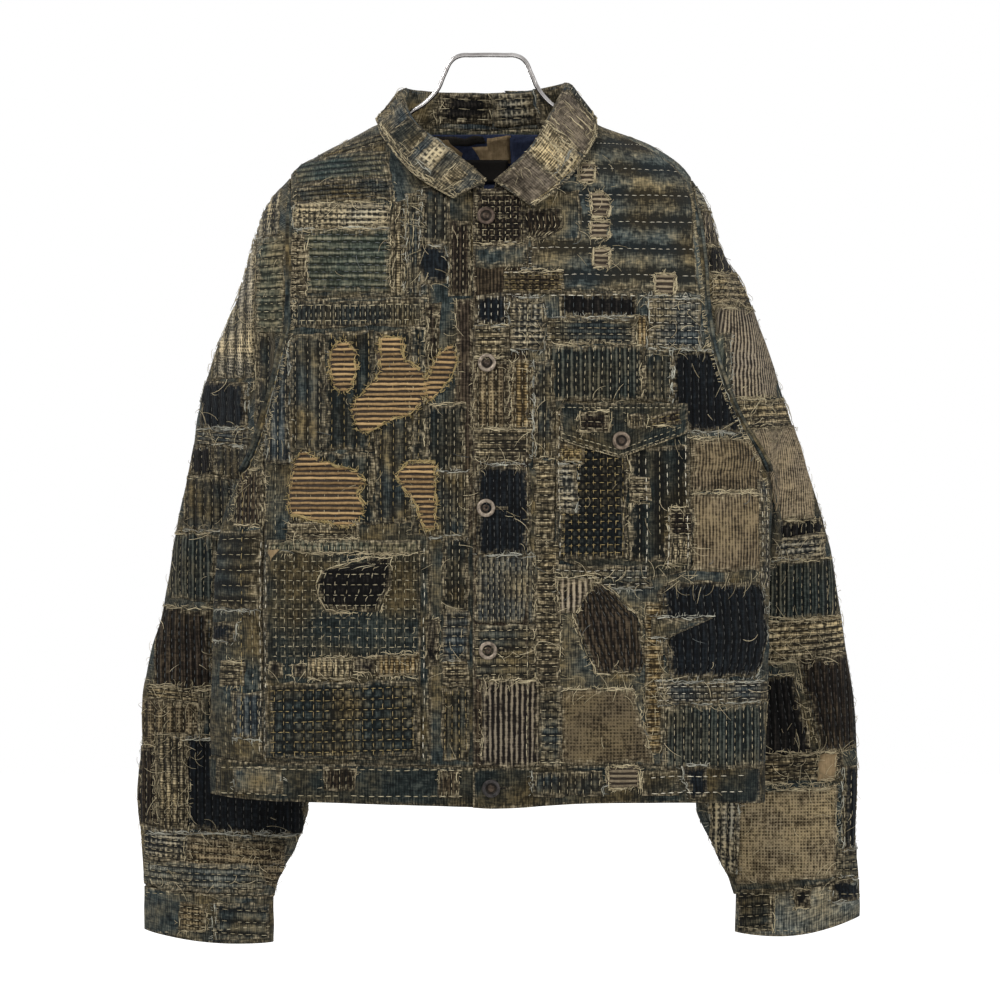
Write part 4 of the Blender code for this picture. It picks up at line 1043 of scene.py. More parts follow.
def label_cloth():
    """Fine dark satin, bare."""
    g = Graph(bpy.data.materials.new("label_cloth"))
    place, axes = g.cloth_map()
    ribs_h = g.wave(axes[1], 0.7)
    value = g.sum(0.5, (0.9, g.noise(place, 1 / 5.0, 3.0), 0.5), (0.25, ribs_h, 0.0))
    colour = g.blend(value, (0.0022, 0.0020, 0.0018), (0.012, 0.010, 0.008))
    return g.finish(colour, ribs_h, 0.4, 0.0002, Roughness=0.8, Specular_IOR_Level=0.15)


def hole_dark():
    """Shaded cloth behind a worn-through place."""
    g = Graph(bpy.data.materials.new("hole_dark"))
    patchy = g.noise(g.cloth_map()[0], 1 / 2.5, 3.0)
    colour = g.blend(g.sum(0.4, (1.6, patchy, 0.5)), (0.008, 0.005, 0.003), (0.050, 0.032, 0.017))
    return g.finish(colour, patchy, 0.6, 0.0006, Roughness=0.95)


# button metals: dark and light colour
METALS = {
    "button_metal": ((0.060, 0.045, 0.033), (0.32, 0.265, 0.205)),
    "button_copper": ((0.018, 0.012, 0.009), (0.100, 0.072, 0.054)),
    "button_bronze": ((0.040, 0.029, 0.020), (0.200, 0.155, 0.115)),
    "button_black": ((0.007, 0.0065, 0.0065), (0.050, 0.044, 0.042)),
    "button_brown": ((0.006, 0.004, 0.003), (0.060, 0.042, 0.029)),
    "button_dark": ((0.004, 0.003, 0.0025), (0.024, 0.018, 0.013))}
MATERIALS = {name: fabric(name, *row) for name, row in CLOTHS.items()}
MATERIALS.update({name: strand(name, *row) for name, row in THREADS.items()})
MATERIALS.update({name: plain_metal(name, *row) for name, row in METALS.items()})
MATERIALS["hanger_steel"] = plain_metal("hanger_steel", (0.22, 0.205, 0.195), (0.48, 0.46, 0.45),
                                        metallic=1.0, rough=0.18, scale=60.0)
MATERIALS["hole_dark"], MATERIALS["label_cloth"] = hole_dark(), label_cloth()
# random patches of the hidden sides: cloth, then way, pitch and thread of their stitches
QUILTED = [
    ("indigo", "h", 8.5, CREAM), ("indigo", "v", 9.0, GOLD), ("teal", "h", 9.0, PALE),
    ("olive", "h", 10.0, BEIGE), ("navy", "v", 9.5, CREAM), ("black", "v", 11.0, PALE),
    ("brown", "v", 10.0, CREAM), ("cord", "v", 15.0, BEIGE), ("check", "v", 16.0, BEIGE),
    ("plaid", "h", 13.0, BEIGE), ("denim", "v", 11.0, CREAM), ("green", "v", 10.5, CREAM),
    ("bluegrey", "h", 11.0, PALE), ("fray", "h", 11.0, BEIGE)]

# ---------------------------------------------------------------- what lies where, in the front view's mm
# patches by part: cloth, left, right, top, foot, tilt, (way, pitch, thread) of the stitches, frayed sides
FRONT_PATCHES = {
    "yokes": [
        ("denim", -184, -90, -84, -100, 0.30, ("h", 6, BEIGE), "b"),
        ("teal", -180, -90, -96, -124, 0.06, ("h", 4.6, THIN), ""),
        ("indigo", ((-120, -182), (-132, -180), (-142, -170)), -88, -122, -142, 0.04, ("h", 4.6, THIN),
         "br"),
        ("plaid", -181, -90, -143, -166, -0.04, ("h", 5.5, BEIGE), "tbl"),
        ("olive", ((-169, -172), (-229, -168)), -88, -167, -226, -0.03, ("h", 7.4, BLUE), "tl"),
        ("fray", -184, -168, -172, -229, 0, ("h", 6, BEIGE), "r"),
        ("fray", -89, -76, -141, -230, 0, ("v", 5.5, BEIGE), "lr"),
        ("denim", -76, -62, -135, -230, 0, ("v", 5.5, BEIGE), "lr"),
        ("navy", ((-182, -62), (-200, -66), (-219, -62)), ((-182, -40), (-200, -34), (-219, -37)), -182,
         -219, 0, None, "tr"),
        ("denim", -62, -36, -130, -181, 0, ("v", 8, CREAM), "l"),
        ("brown", -36, -15, -160, -230, 0, ("v", 6, BEIGE), "r"),
        ("bluegrey", 30, 58, -184, -204, 0, ("h", 6, PALE), "b"),
        ("fray", 57, 71, -184, -206, 0, ("v", 5, BEIGE), "lr"),
        ("faded", ((-72, 86), (-104, 40), (-224, 40)), ((-72, 112), (-80, 134), (-92, 155), (-104, 172),
         (-116, 182), (-140, 190), (-224, 194)), -72, -224, 0, ("h", 26, PALE), ""),
        ("denim", 44, 86, -132, -178, 0, None, ""), ("tweed", 14, 70, -207, -228, 0, ("h", 5, GOLD), "t"),
        ("brown", ((-148, 24), (-168, 30), (-177, 34)), ((-148, 68), (-166, 70), (-177, 52)), -148, -177, 0,
         ("v", 5, BEIGE), "b")],
    "right_front": [
        ("denim", -184, -60, -233, -258, 0, ("v", 4.6, CREAM), "b"),
        ("bluegrey", -207, -184, -262, -383, 0, ("v", 9, CREAM), "lr"),
        ("denim", -184, -150, -264, -372, 0, ("v", 11.5, CREAM), ""),
        ("indigo", -150, -104, -262, -372, 0, ("v", 11.5, GOLD), ""),
        ("denim", -104, -70, -262, -440, 0, ("v", 11.5, GOLD), ""),
        ("indigo", -184, -104, -374, -440, 0, ("v", 13, CREAM), ""),
        ("indigo", -70, -57, -258, -452, 0, ("v", 9, GOLD), "lr"),
        ("fray", -186, -118, -440, -455, 0, ("h", 6, BEIGE), "tb"),
        ("brown", -57, -44, -236, -300, 0, ("v", 6, BEIGE), "l"),
        ("brown", -30, -13, -232, -456, 0, None, "l"),
        ("indigo", -57, -20, -330, -392, 0, ("v", 8, CREAM), "t"),
        ("denim", -57, -18, -392, -452, 0, ("v", 7, CREAM), "tb"),
        ("indigo", -42, -17, -452, -520, 0, ("v", 6, CREAM), "b"),
        ("bluegrey", -42, -17, -520, -566, 0, ("h", 8, CREAM), "b"),
        ("fray", -42, -17, -566, -590, 0, ("h", 6, BEIGE), "tb"),
        ("indigo", -42, -17, -590, -658, 0, ("v", 7, GOLD), "")],
    "right_side": [
        ("brown", -237, -209, -389, -442, 0, ("v", 5, BEIGE), "tblr"),
        ("denim", -256, -210, -446, -520, 0, ("h", 14, CREAM), "b"),
        ("navy", -257, -234, -531, -550, 0, None, "tbr"),
        ("fray", -250, -226, -568, -590, 0, ("h", 6, BEIGE), "tb"),
        ("bluegrey", -238, -209, -596, -640, 0, ("v", 8, CREAM), "tb")],
    "hand_pocket": [
        ("olive", -203, -62, -456, -467, 0, ("v", 5.5, CREAM), "b"),
        ("tan", -203, ((-463, -192), (-473, -200)), -463, -474, 0, None, ""),
        ("black", ((-470, -108), (-477, -112), (-481, -152), (-492, -157), (-510, -156), (-521, -149)),
         ((-470, -88), (-502, -90), (-510, -97), (-521, -100)), -470, -521, 0, ("g", 10.5, CREAM), "tblr"),
        ("black", -124, -103, -563, -577, 0, None, "tblr"),
        ("black", -202, -189, -568, -582, 0, None, "tblr"),
        ("black", -179, -167, -570, -581, 0, None, "tblr"),
        ("black", -57, -45, -528, -571, 0, None, "tblr"),
        ("fray", -166, -124, -563, -583, 0, ("v", 5, BEIGE), "tb"),
        ("ochre", -103, -64, -560, -580, 0, ("v", 5, BEIGE), "tb"),
        ("indigo", -202, -64, -586, -656, 0.03, ("g", 9.5, GOLD), "t")],
    "placket": [
        ("brown", -13, 34, -132, -183, 0, ("g", 5.5, BEIGE), "b"),
        ("indigo", -13, 36, -184, -204, 0, None, ""),
        ("check", -13, 20, -289, -354, 0, ("v", 8, BEIGE), "lr"),
        ("ochre", 22, 42, -289, -354, 0, ("v", 7, BEIGE), "lr"),
        ("fray", -13, 42, -353, -383, 0, ("h", 6, BEIGE), "tb"),
        ("navy", -10, 39, -386, -469, 0, ("v", 6.5, THIN), "tb"),
        ("bluegrey", -12, 44, -469, -532, 0, ("v", 5.2, CREAM), "t"),
        ("denim", -12, 44, -532, -584, 0, ("h", 8, BEIGE), "b"),
        ("stripe", -6, 48, -584, -663, 0, None, "tl")],
    "left_front": [
        ("navy", -12, 19, -228, -258, 0, ("v", 6, PALE), "b"),
        ("plaid", 20, 53, -232, -280, 0, ("h", 6, BEIGE), "tblr"),
        ("fray", -12, 20, -258, -288, 0, ("h", 6, BEIGE), "tb"),
        ("black", 66, 137, -227, -250, 0, ("v", 9, BLUE), "b"),
        ("ochre", 136, 149, -248, -277, 0, ("v", 5, BEIGE), "lr"),
        ("bluegrey", 148, 198, -230, -279, 0, ("h", 7, PALE), "tblr"),
        ("denim", 54, 136, -250, -275, 0, ("h", 5, CREAM), "t"),
        ("green", 53, 142, -275, -327, 0, ("v", 8.4, CREAM), "tb"),
        ("indigo", 142, 172, -279, -328, 0, ("v", 7, CREAM), "l"),
        ("navy", 170, 236, -279, -355, 0, ("v", 7.5, THIN), "tblr"),
        ("denim", 42, 62, -289, -380, 0, ("v", 6, CREAM), "l"),
        ("fray", 43, 62, -380, -455, 0, ("h", 7, BEIGE), "tb"),
        ("rib", 187, 257, -361, -410, 0, None, "tb"), ("rib", 188, 258, -412, -484, 0, None, "t"),
        ("bluegrey", 252, 263, -400, -501, 0, ("v", 5, PALE), ""),
        ("fray", 44, 67, -455, -590, 0, ("h", 7, BEIGE), "lr"),
        ("denim", 62, 150, -478, -500, 0, ("h", 6, PALE), "b"),
        ("brown", ((-494, 84), (-522, 78), (-546, 84), (-562, 92), (-578, 100)),
         ((-494, 104), (-500, 113), (-528, 142), (-566, 145), (-578, 141)), -494, -578, 0, ("v", 7, THIN),
         "tblr"),
        ("cord", 63, ((-489, 100), (-522, 82)), -489, -522, 0, None, "tlr"),
        ("ochre", 145, 161, -512, -652, 0, ("h", 7, BEIGE), "lr"),
        ("tweed", 67, ((-594, 134), (-661, 153)), -592, -661, 0, None, "tr"),
        ("navy", ((-494, 166), (-503, 157), (-520, 158), (-560, 163), (-583, 166)),
         ((-494, 253), (-510, 258), (-547, 262), (-570, 256), (-583, 249)), -494, -583, 0, ("v", 7.6, THIN),
         "tr"),
        ("denim", 150, ((-526, 210), (-532, 196), (-540, 178), (-546, 166)), -526, -546, 0, None, "tb"),
        ("bluegrey", 156, 262, -586, -607, 0, ("h", 6, PALE), "tb"),
        ("green", 160, 258, -607, -667, 0, ("v", 8.4, CREAM), "b"),
        ("denim", 48, 68, -590, -663, 0, ("h", 8, CREAM), "")],
    "chest_pocket": [
        ("ink", 66, 128, -368, -472, 0, ("g", 7.2, GOLD), ""),
        ("deep", 130, 186, -368, -474, 0, ("v", 18, CREAM), "l"),
        ("ochre", 66, 88, -366, -384, 0, ("g", 6, GOLD), "b"),
        ("fray", 131, 149, -396, -420, 0, ("h", 5, BEIGE), "tb"),
        ("brown", 167, 188, -426, -467, 0, ("h", 5, BEIGE), "tblr"),
        ("fray", 163, 187, -452, -478, 0, ("v", 5, BEIGE), "tb"),
        ("plaid", 64, 82, -384, -430, 0, ("h", 6, BEIGE), "tr")],
    "hem": [
        ("brown", -152, -122, -664, -687, 0, ("v", 6, BEIGE), "lr"),
        ("brown", -45, -27, -667, -692, 0, ("v", 5, BEIGE), "lr"),
        ("denim", 40, 106, -667, -691, 0, ("v", 7, CREAM), "lr"),
        ("navy", ((-664, 178), (-680, 182), (-694, 186)), 203, -664, -694, 0, None, "tbl"),
        ("denim", -236, -190, -666, -690, 0, None, "lr"), ("indigo", 142, 178, -668, -691, 0, None, "l")]}
# worn-through places darned with level ribs: outlines of height, left, right
FRONT_HOLES = [
    [(-271, -138, -130), (-280, -145, -122), (-298, -146, -121), (-312, -142, -125), (-318, -136, -131)],
    [(-268, -99, -79), (-289, -100, -77), (-298, -99, -62), (-305, -101, -57), (-312, -109, -53),
     (-317, -113, -55), (-326, -122, -60), (-335, -125, -65), (-340, -124, -76), (-344, -123, -90),
     (-351, -121, -101), (-355, -117, -112)],
    [(-277, -36, -32), (-282, -44, -30), (-289, -49, -28), (-298, -53, -31), (-309, -58, -36),
     (-319, -57, -44), (-326, -56, -53)],
    [(-374, -174, -167), (-380, -177, -157), (-387, -180, -136), (-391, -181, -120), (-401, -183, -113),
     (-413, -184, -120), (-423, -185, -113), (-432, -182, -116), (-437, -156, -119), (-442, -136, -125)],
    [(-383, -73, -48), (-395, -84, -48), (-406, -79, -48), (-423, -65, -48), (-436, -62, -48),
     (-445, -58, -48)],
    [(-105, 85, 99), (-124, 84, 98)], [(-133, 95, 107), (-141, 94, 113), (-156, 96, 112)],
    [(-160, 95, 113), (-176, 95, 112)], [(-185, 97, 113), (-204, 97, 112)],
    [(-209, 154, 174), (-227, 155, 172)], [(-664, 110, 139), (-684, 111, 140)]]
# single rows of stitches on the front: left, right, top, foot, way, thread
FRONT_LINES = [
    (-184, -60, -238, -238, "h", CREAM), (-184, -60, -252, -252, "h", CREAM),
    (14, 42, -180, -180, "h", PALE), (14, 42, -208, -208, "h", PALE), (-229, -229, -280, -655, "v", GOLD),
    (-211, -211, -456, -660, "v", PALE), (-206, -206, -456, -660, "v", PALE),
    (-59, -59, -456, -656, "v", PALE), (-60, -20, -300, -300, "h", BEIGE), (40, 76, -660, -660, "h", CREAM),
    (150, 246, -674, -674, "h", PALE), (150, 246, -689, -689, "h", PALE),
    (-250, -20, -667, -667, "h", CREAM), (-250, -20, -691, -691, "h", CREAM),
    (62, 186, -340, -340, "h", PALE), (66, 66, -345, -470, "v", PALE), (183, 183, -345, -480, "v", PALE),
    (16, 190, -229, -229, "h", PALE), (146, 146, -380, -485, "v", PALE), (166, 166, -380, -480, "v", PALE),
    (36, 36, -230, -655, "v", CREAM)]
# frays and loose threads on the front: left, right, top, foot, how many, heading or None
FRONT_FUZZ = [
    (-130, -60, -136, -147, 40, 0.0), (-130, -60, -158, -172, 40, 0.0), (-182, -90, -138, -146, 40, -1.5),
    (-94, -60, -140, -232, 60, -1.4), (-66, -32, -176, -222, 60, None), (-60, -20, -240, -330, 50, -1.4),
    (-190, -112, -438, -458, 50, None), (-200, -60, -560, -590, 60, None), (20, 56, -230, -284, 70, None),
    (130, 200, -228, -284, 130, None), (50, 145, -322, -336, 60, None), (-16, 46, -350, -392, 80, None),
    (165, 240, -345, -366, 60, None), (60, 196, -472, -500, 110, None), (60, 160, -570, -606, 90, None),
    (140, 166, -510, -655, 70, -1.5), (150, 262, -582, -612, 80, None), (-16, 50, -578, -592, 40, -1.5),
    (160, 190, -420, -484, 50, None), (58, 110, -95, -135, 50, None), (80, 120, -100, -206, 60, 0.0),
    (-258, -206, -380, -446, 50, None), (40, 70, -450, -595, 60, 0.0), (4, 34, -286, -299, 34, 0.4),
    (6, 38, -420, -438, 44, -0.4), (5, 30, -552, -566, 24, 0.2), (196, 236, -270, -360, 40, None),
    (185, 262, -480, -500, 50, -1.5), (-46, -14, -380, -660, 60, None)]
SLEEVE_PATCHES = {
    -1: [
        ("plaid", -252, -196, -122, -172, 0, ("v", 9, BEIGE), "b"),
        ("linen", -262, -214, -170, -304, 0, ("v", 10, BEIGE), "lr"),
        ("olive", -218, -190, -172, -262, 0, ("h", 7, CREAM), "l"),
        ("indigo", -218, -200, -262, -380, 0, ("v", 8, CREAM), "l"),
        ("navy", -275, -226, -304, -352, -0.1, ("v", 8, THIN), "tblr"),
        ("bluegrey", -278, -224, -351, -367, -0.1, ("h", 5, BEIGE), "tb"),
        ("black", -285, -260, -366, -396, -0.1, ("v", 8, CREAM), "b"),
        ("denim", -260, -216, -368, -398, -0.1, ("v", 8, CREAM), "b"),
        ("denim", -292, -240, -395, -448, -0.1, ("v", 9, BEIGE), "b"),
        ("teal", -240, -214, -398, -470, 0, ("v", 8, CREAM), "l"),
        ("green", -306, -258, -449, -514, -0.1, ("v", 8.4, CREAM), "tb"),
        ("indigo", -258, -206, -470, -523, -0.1, ("v", 8, CREAM), "t"),
        ("brown", -320, -262, -521, -600, -0.1, ("v", 7, BLUE), "tb"),
        ("bluegrey", -262, -196, -523, -600, -0.1, ("h", 8, CREAM), "tb"),
        ("fray", -326, -258, -596, -613, -0.1, ("h", 5, BEIGE), "tb"),
        ("check", -333, -276, -609, -668, -0.1, ("v", 9, BEIGE), "b"),
        ("indigo", -276, -190, -600, -648, -0.1, ("v", 7, CREAM), "t"),
        ("navy", -303, -178, -646, -738, -0.08, ("v", 7.5, THIN), "tblr"),
        ("brown", -336, -312, -654, -730, 0, ("v", 6, BEIGE), "tbr"),
        ("fray", -318, -286, -640, -735, 0, ("v", 6, BEIGE), "lr"),
        ("plaid", -330, -194, -736, -768, -0.1, ("h", 6, BEIGE), "tb"),
        ("check", -288, -196, -744, -786, -0.1, ("h", 8, BEIGE), "tblr"),
        ("pale", -331, -214, -764, -792, -0.05, ("h", 7, CREAM), "t")],
    1: [
        ("pale", 192, 222, -118, -147, 0, ("h", 7, PALE), "b"),
        ("cord", 198, 232, -146, -181, 0.1, ("v", 5, BEIGE), "tb"),
        ("black", 203, 236, -180, -209, 0.1, ("v", 7, BEIGE), "b"),
        ("fray", 208, 250, -205, -238, 0.1, ("h", 6, BEIGE), "tb"),
        ("cord", 212, 274, -237, -324, 0.1, None, "tb"),
        ("teal", 206, 226, -262, -380, 0, ("v", 8, CREAM), "r"),
        ("fray", 226, 292, -323, -352, 0.1, ("h", 6, BEIGE), "tb"),
        ("wale", 236, 312, -350, -438, 0.1, None, "b"),
        ("indigo", 222, 240, -352, -440, 0.1, ("h", 8, CREAM), "r"),
        ("black", 260, 322, -437, -476, 0.1, ("v", 8, CREAM), "tb"),
        ("plaid", 268, 322, -452, -474, 0.1, ("h", 6, BEIGE), "tb"),
        ("green", 262, 336, -475, -533, 0.1, ("v", 8.4, CREAM), "tb"),
        ("denim", 228, 264, -478, -540, 0.1, ("v", 8, CREAM), "r"),
        ("fray", 256, 341, -531, -572, 0.1, ("h", 6, BEIGE), "tb"),
        ("brown", ((-566, 292), (-662, 318)), 354, -566, -658, 0.1, ("v", 7, THIN), "tbl"),
        ("bluegrey", 216, 262, -540, -600, 0.1, ("v", 9, CREAM), "b"),
        ("black", 258, ((-585, 292), (-640, 306), (-681, 312)), -585, -681, 0.1, ("v", 8, THIN), "tblr"),
        ("indigo", 208, 260, -600, -690, 0.1, ("v", 7, CREAM), "r"),
        ("fray", 228, 338, -660, -688, 0.1, ("h", 6, BEIGE), "tb"),
        ("tan", 315, 332, -660, -686, 0.1, None, "tblr"),
        ("check", 238, 333, -694, -782, 0.08, None, "tlr"),
        ("navy", 338, 356, -674, -754, 0, ("v", 6, CREAM), "l"),
        ("denim", 333, 356, -752, -784, 0, ("h", 7, BEIGE), "t"),
        ("plaid", 212, 240, -690, -776, 0, ("v", 7, BEIGE), "lr")]}
CUFF_PATCHES = {
    -1: [("check", -296, -269, -803, -829, -0.1, ("h", 6, BEIGE), "tblr"),
         ("denim", -262, -210, -803, -840, -0.1, ("h", 11, CREAM), "l")],
    1: [("indigo", 240, 272, -790, -832, 0.15, ("h", 9, BEIGE), "r"),
        ("black", 292, 308, -789, -807, 0.15, None, "tblr"),
        ("navy", 328, 354, -780, -802, 0.15, None, "tblr")]}
SLEEVE_FUZZ = {
    -1: [(-320, -270, -612, -735, 150, -2.2), (-310, -180, -640, -660, 60, None),
         (-300, -180, -730, -760, 120, None), (-330, -200, -770, -800, 70, None),
         (-280, -215, -340, -372, 70, None), (-300, -200, -440, -470, 60, None),
         (-326, -250, -590, -616, 80, None), (-262, -210, -170, -310, 70, -1.8)],
    1: [(205, 255, -200, -240, 90, None), (230, 300, -320, -356, 110, None),
        (250, 330, -430, -480, 90, None), (256, 345, -528, -575, 160, None),
        (230, 345, -655, -695, 130, None), (230, 340, -690, -790, 110, None),
        (290, 300, -580, -680, 50, -1.4), (200, 240, -120, -210, 60, -1.2)]}
FLAP_PATCHES = [
    ("brown", 84, 112, -336, -356, 0, ("h", 6, BEIGE), "tblr"),
    ("fray", 128, 146, -338, -352, 0, ("v", 5, BEIGE), "lr"),
    ("brown", 150, 178, -337, -350, 0.2, ("h", 6, GOLD), "b")]
BACK_HOLES = [
    [(-286, -90, -60), (-310, -98, -52), (-334, -110, -58), (-352, -100, -66)],
    [(-402, 70, 100), (-424, 64, 114), (-446, 74, 106)], [(-520, -28, -12), (-566, -30, -8)]]
# patches of the lining: cloth, left, right, top, foot
LINING_PATCHES = [
    ("lining_grey", -68, -4, -67, -76),
    ("tan", ((-70, -48), (-82, -40)), ((-70, -40), (-82, -26)), -70, -104),
    ("tan", ((-76, -16), (-90, -6)), 4, -76, -92), ("tan", -1, 21, -68, -93), ("tan", 18, 36, -98, -108),
    ("lining_blue", 22, 56, -68, -97), ("lining_grey", -44, -14, -112, -134), ("tan", 16, 46, -116, -140),
    ("tan", -66, -48, -112, -150), ("lining_grey", 40, 66, -146, -176), ("tan", -30, 2, -148, -180)]
# the base cloth's own rows of stitches, under the patches: left, right, top, foot, way, pitch, thickness
BASE_ROWS = [
    (-205, -60, -262, -450, "v", 14, 0.42), (-250, -212, -300, -655, "v", 12, 0.42),
    (-200, -64, -470, -584, "g", 8.6, 0.36), (216, 258, -370, -655, "v", 14, 0.42)]


# ---------------------------------------------------------------- the cloths themselves


def hem_strip(place, n):
    """Grid of a strip of the hem band; place gives x, face and distance out for shares along it."""
    a, b = np.meshgrid(np.linspace(0, 1, n + 1), np.linspace(0, 1, 9))
    x, face, out = place(a)
    top, foot = cross_z(2, -0.5 * SEAM)(x), cross_z(3)(x)
    z = top + (foot - top) * b
    return np.where((face < 0)[..., None], on_body(x, z, -1, out), on_body(x, z, 1, out))


def hem_right(a):
    return 0.012 - (BAND_END + 0.012) * a, -np.ones_like(a), 0.0 * a


def hem_left(a):
    """On top of the other strip at the button, down on the body beyond it."""
    x = PLACKET_L[0] + (BAND_END - PLACKET_L[0]) * a
    return x, -np.ones_like(a), BAND_LAP * np.clip((0.046 - x) / 0.014, 0, 1)


def hem_back(a):
    """Behind, and round the sides to just behind the front strips."""
    z, turn = np.full_like(a, -0.68), 0.12    # a height in the band, and the strip's share beside each fold
    ends, start = (edge_x(z, -1), edge_x(z, 1)), BAND_END + 0.0004
    across = 0.5 - 0.5 * np.cos(np.clip((a - turn) / (1 - 2 * turn), 0, 1) * pi)
    middle = ends[0] + (ends[1] - ends[0]) * across
    round_fold = np.sin(np.minimum(a, 1 - a) / turn * pi / 2)
    x = np.where(a < turn, -(start + (-ends[0] - start) * round_fold), start + (ends[1] - start) * round_fold)
    behind = (a >= turn) & (a <= 1 - turn)
    return np.where(behind, middle, x), np.where(behind, 1.0, -1.0), 0.0 * a


def foot_line(points):
    return lambda x: np.interp(x, [p[0] for p in points], [p[1] for p in points])


def body_cloths():
    seam, hem = cross_z(1, 0.5 * SEAM), cross_z(2, 0.5 * SEAM)
    for side, tag in SIDES:
        ends = [limit(side), FRONT_IN[side]][::-side]
        sew_up(f"front_yoke_{tag}", "yoke_denim", "faded" if side > 0 else "denim",
               body_grid(*ends, lambda x: neck_z(x, -1), seam, -1, 34, 34), -1)
        ends = [panel_limit(side), FRONT_IN[side]][::-side]
        sew_up(f"front_{tag}", "patched_denim", "denim" if side > 0 else "indigo",
               body_grid(*ends, cross_z(1, -0.5 * SEAM), hem, -1, 40, 84), -1)
        sew_up(f"side_panel_{tag}", "indigo_patched", "indigo", side_grid(side, 24, 60), -side)
    grid = body_grid(limit(-1), limit(1), lambda x: neck_z(x, 1), flat_z(YOKE_BACK + 0.5 * SEAM), 1, 76, 28)
    sew_up("back_yoke", "yoke_denim", "teal", grid, 1)
    grid = body_grid(panel_limit(-1), panel_limit(1), flat_z(YOKE_BACK - 0.5 * SEAM), hem, 1, 78, 84)
    sew_up("back_panel", "patched_denim", "indigo", grid, 1)
    sew_up("hem_band_right", "yoke_denim", "deep", hem_strip(hem_right, 50)[:, ::-1], -1, BAND_WALL)
    sew_up("hem_band_left", "yoke_denim", "deep", hem_strip(hem_left, 50), -1, BAND_WALL)
    sew_up("hem_band_back", "yoke_denim", "deep", hem_strip(hem_back, 110), 1, BAND_WALL)
    for tag, (x0, x1), out, slot, material in (("right", PLACKET_R, 0.0, "indigo_patched", "indigo"),
                                               ("left", PLACKET_L, LAYER, "brown_patched", "brown")):
        cells = max(2, round((x1 - x0) / 0.0052))
        sew_up(f"placket_{tag}", slot, material,
               body_grid(x0, x1, lambda x: neck_z(x, -1), hem, -1, cells, 108, out), -1)


def pocket_cloths():
    x0, x1, z0, z1 = HAND_POCKET
    grid = body_grid(x0, x1, flat_z(z0), flat_z(z1), -1, 28, 39, LAYER)
    sew_up("hand_pocket", "indigo_patched", "deep", grid, -1)
    x0, x1, z0 = CHEST_POCKET
    grid = body_grid(x0, x1, flat_z(z0), foot_line(POCKET_FOOT), -1, 24, 29, LAYER)
    sew_up("chest_pocket", "patched_denim", "deep", grid, -1)
    x0, x1 = FLAP_FOOT[0][0], FLAP_FOOT[-1][0]
    grid = body_grid(x0, x1, flat_z(FLAP_TOP), foot_line(FLAP_FOOT), -1, 24, 9, 2 * LAYER)
    sew_up("chest_pocket_flap", "yoke_denim", "deep", grid, -1)


def sleeve_cloths():
    for side, tag in SIDES:
        na, nv = 66, 100
        v = np.linspace(0, 1, nv + 1)[:, None]
        fade = np.clip(v / 0.10, 0.15, 1) * np.clip((1 - v) / 0.05, 0.1, 1)
        sew_up(f"sleeve_{tag}", "brown_patched", "denim" if side < 0 else "indigo", sleeve_grid(side, na, nv),
               side, closed=True, relief=(0.8, 2.6), fade=fade,
               node=[f"sleeve_{tag}_upper", f"sleeve_{tag}_lower"])
        sew_up(f"cuff_{tag}", "yoke_denim", "denim" if side < 0 else "pale", cuff_grid(side, 70, 9)[0], side,
               BAND_WALL, relief=(0.5, 0.8))


def neck_cloths():
    sew_up("collar", "brown_patched", "bluegrey", collar_grid(96, COLLAR_CELLS), 1, relief=(0.5, 0.6))
    lining_in, nearly_flat = -1.55 * LAYER, (0.1, 1.1)
    grid = body_grid(-0.072, 0.072, flat_z(-0.0665), flat_z(-0.190), 1, 28, 24, lining_in)
    sew_up("back_lining", "lining_cloth", "lining_blue", grid, -1, relief=nearly_flat)
    x0, x1, z0, z1 = LABEL
    grid = body_grid(x0, x1, flat_z(z0), flat_z(z1), 1, 12, 7, -1.80 * 1.55 * LAYER)
    sew_up("neck_label", "label_cloth", "label_cloth", grid, -1, LABEL_WALL, relief=nearly_flat)


def lathe(piece, material, profile, at, facing, turns=40):
    """A profile of (radius, height) turned about an axis."""
    facing = facing / np.linalg.norm(facing)
    across = np.cross(facing, (0.0, 0.0, 1.0))
    across /= np.linalg.norm(across)
    up = np.cross(across, facing)
    angle = 2 * pi * np.arange(turns) / turns
    radius, height = (np.array([p[k] for p in profile])[:, None] for k in (0, 1))
    points = (at + (across * np.cos(angle)[:, None] + up * np.sin(angle)[:, None]) * radius[..., None]
              + facing * height[..., None])
    piece.add(points, [quads(len(profile), turns, True)[:, ::-1]], material)


# a shank button's cap, as shares of its radius and heights: a wide rolled ring, a dark hollow and a low stud
CAP_RING = [(0.0, 0.0), (0.70, 0.0), (0.92, 0.0003), (0.98, 0.0009), (1.0, 0.0016), (0.985, 0.0022),
            (0.94, 0.0027), (0.86, 0.0030), (0.76, 0.0030), (0.68, 0.0028), (0.62, 0.0024), (0.58, 0.0018)]
CAP_DISH = [(0.58, 0.0018), (0.55, 0.0011), (0.44, 0.0009), (0.40, 0.0012), (0.36, 0.0015)]
CAP_STUD = [(0.36, 0.0015), (0.28, 0.0018), (0.20, 0.0017), (0.14, 0.0012), (0.0, 0.0010)]
# the metals of the front buttons from the collar down, and of the flap's
BUTTON_METALS = ["button_copper", *["button_metal"] * 3, "button_black", "button_bronze"]


def button(name, at, facing, metal="button_metal"):
    piece = Piece(name + "_cap", "button_metal")
    for material, profile in ((metal, CAP_RING), ("button_dark", CAP_DISH), ("button_brown", CAP_STUD)):
        lathe(piece, material, [(share * BUTTON, height) for share, height in profile], at, facing)
    piece.done([name])


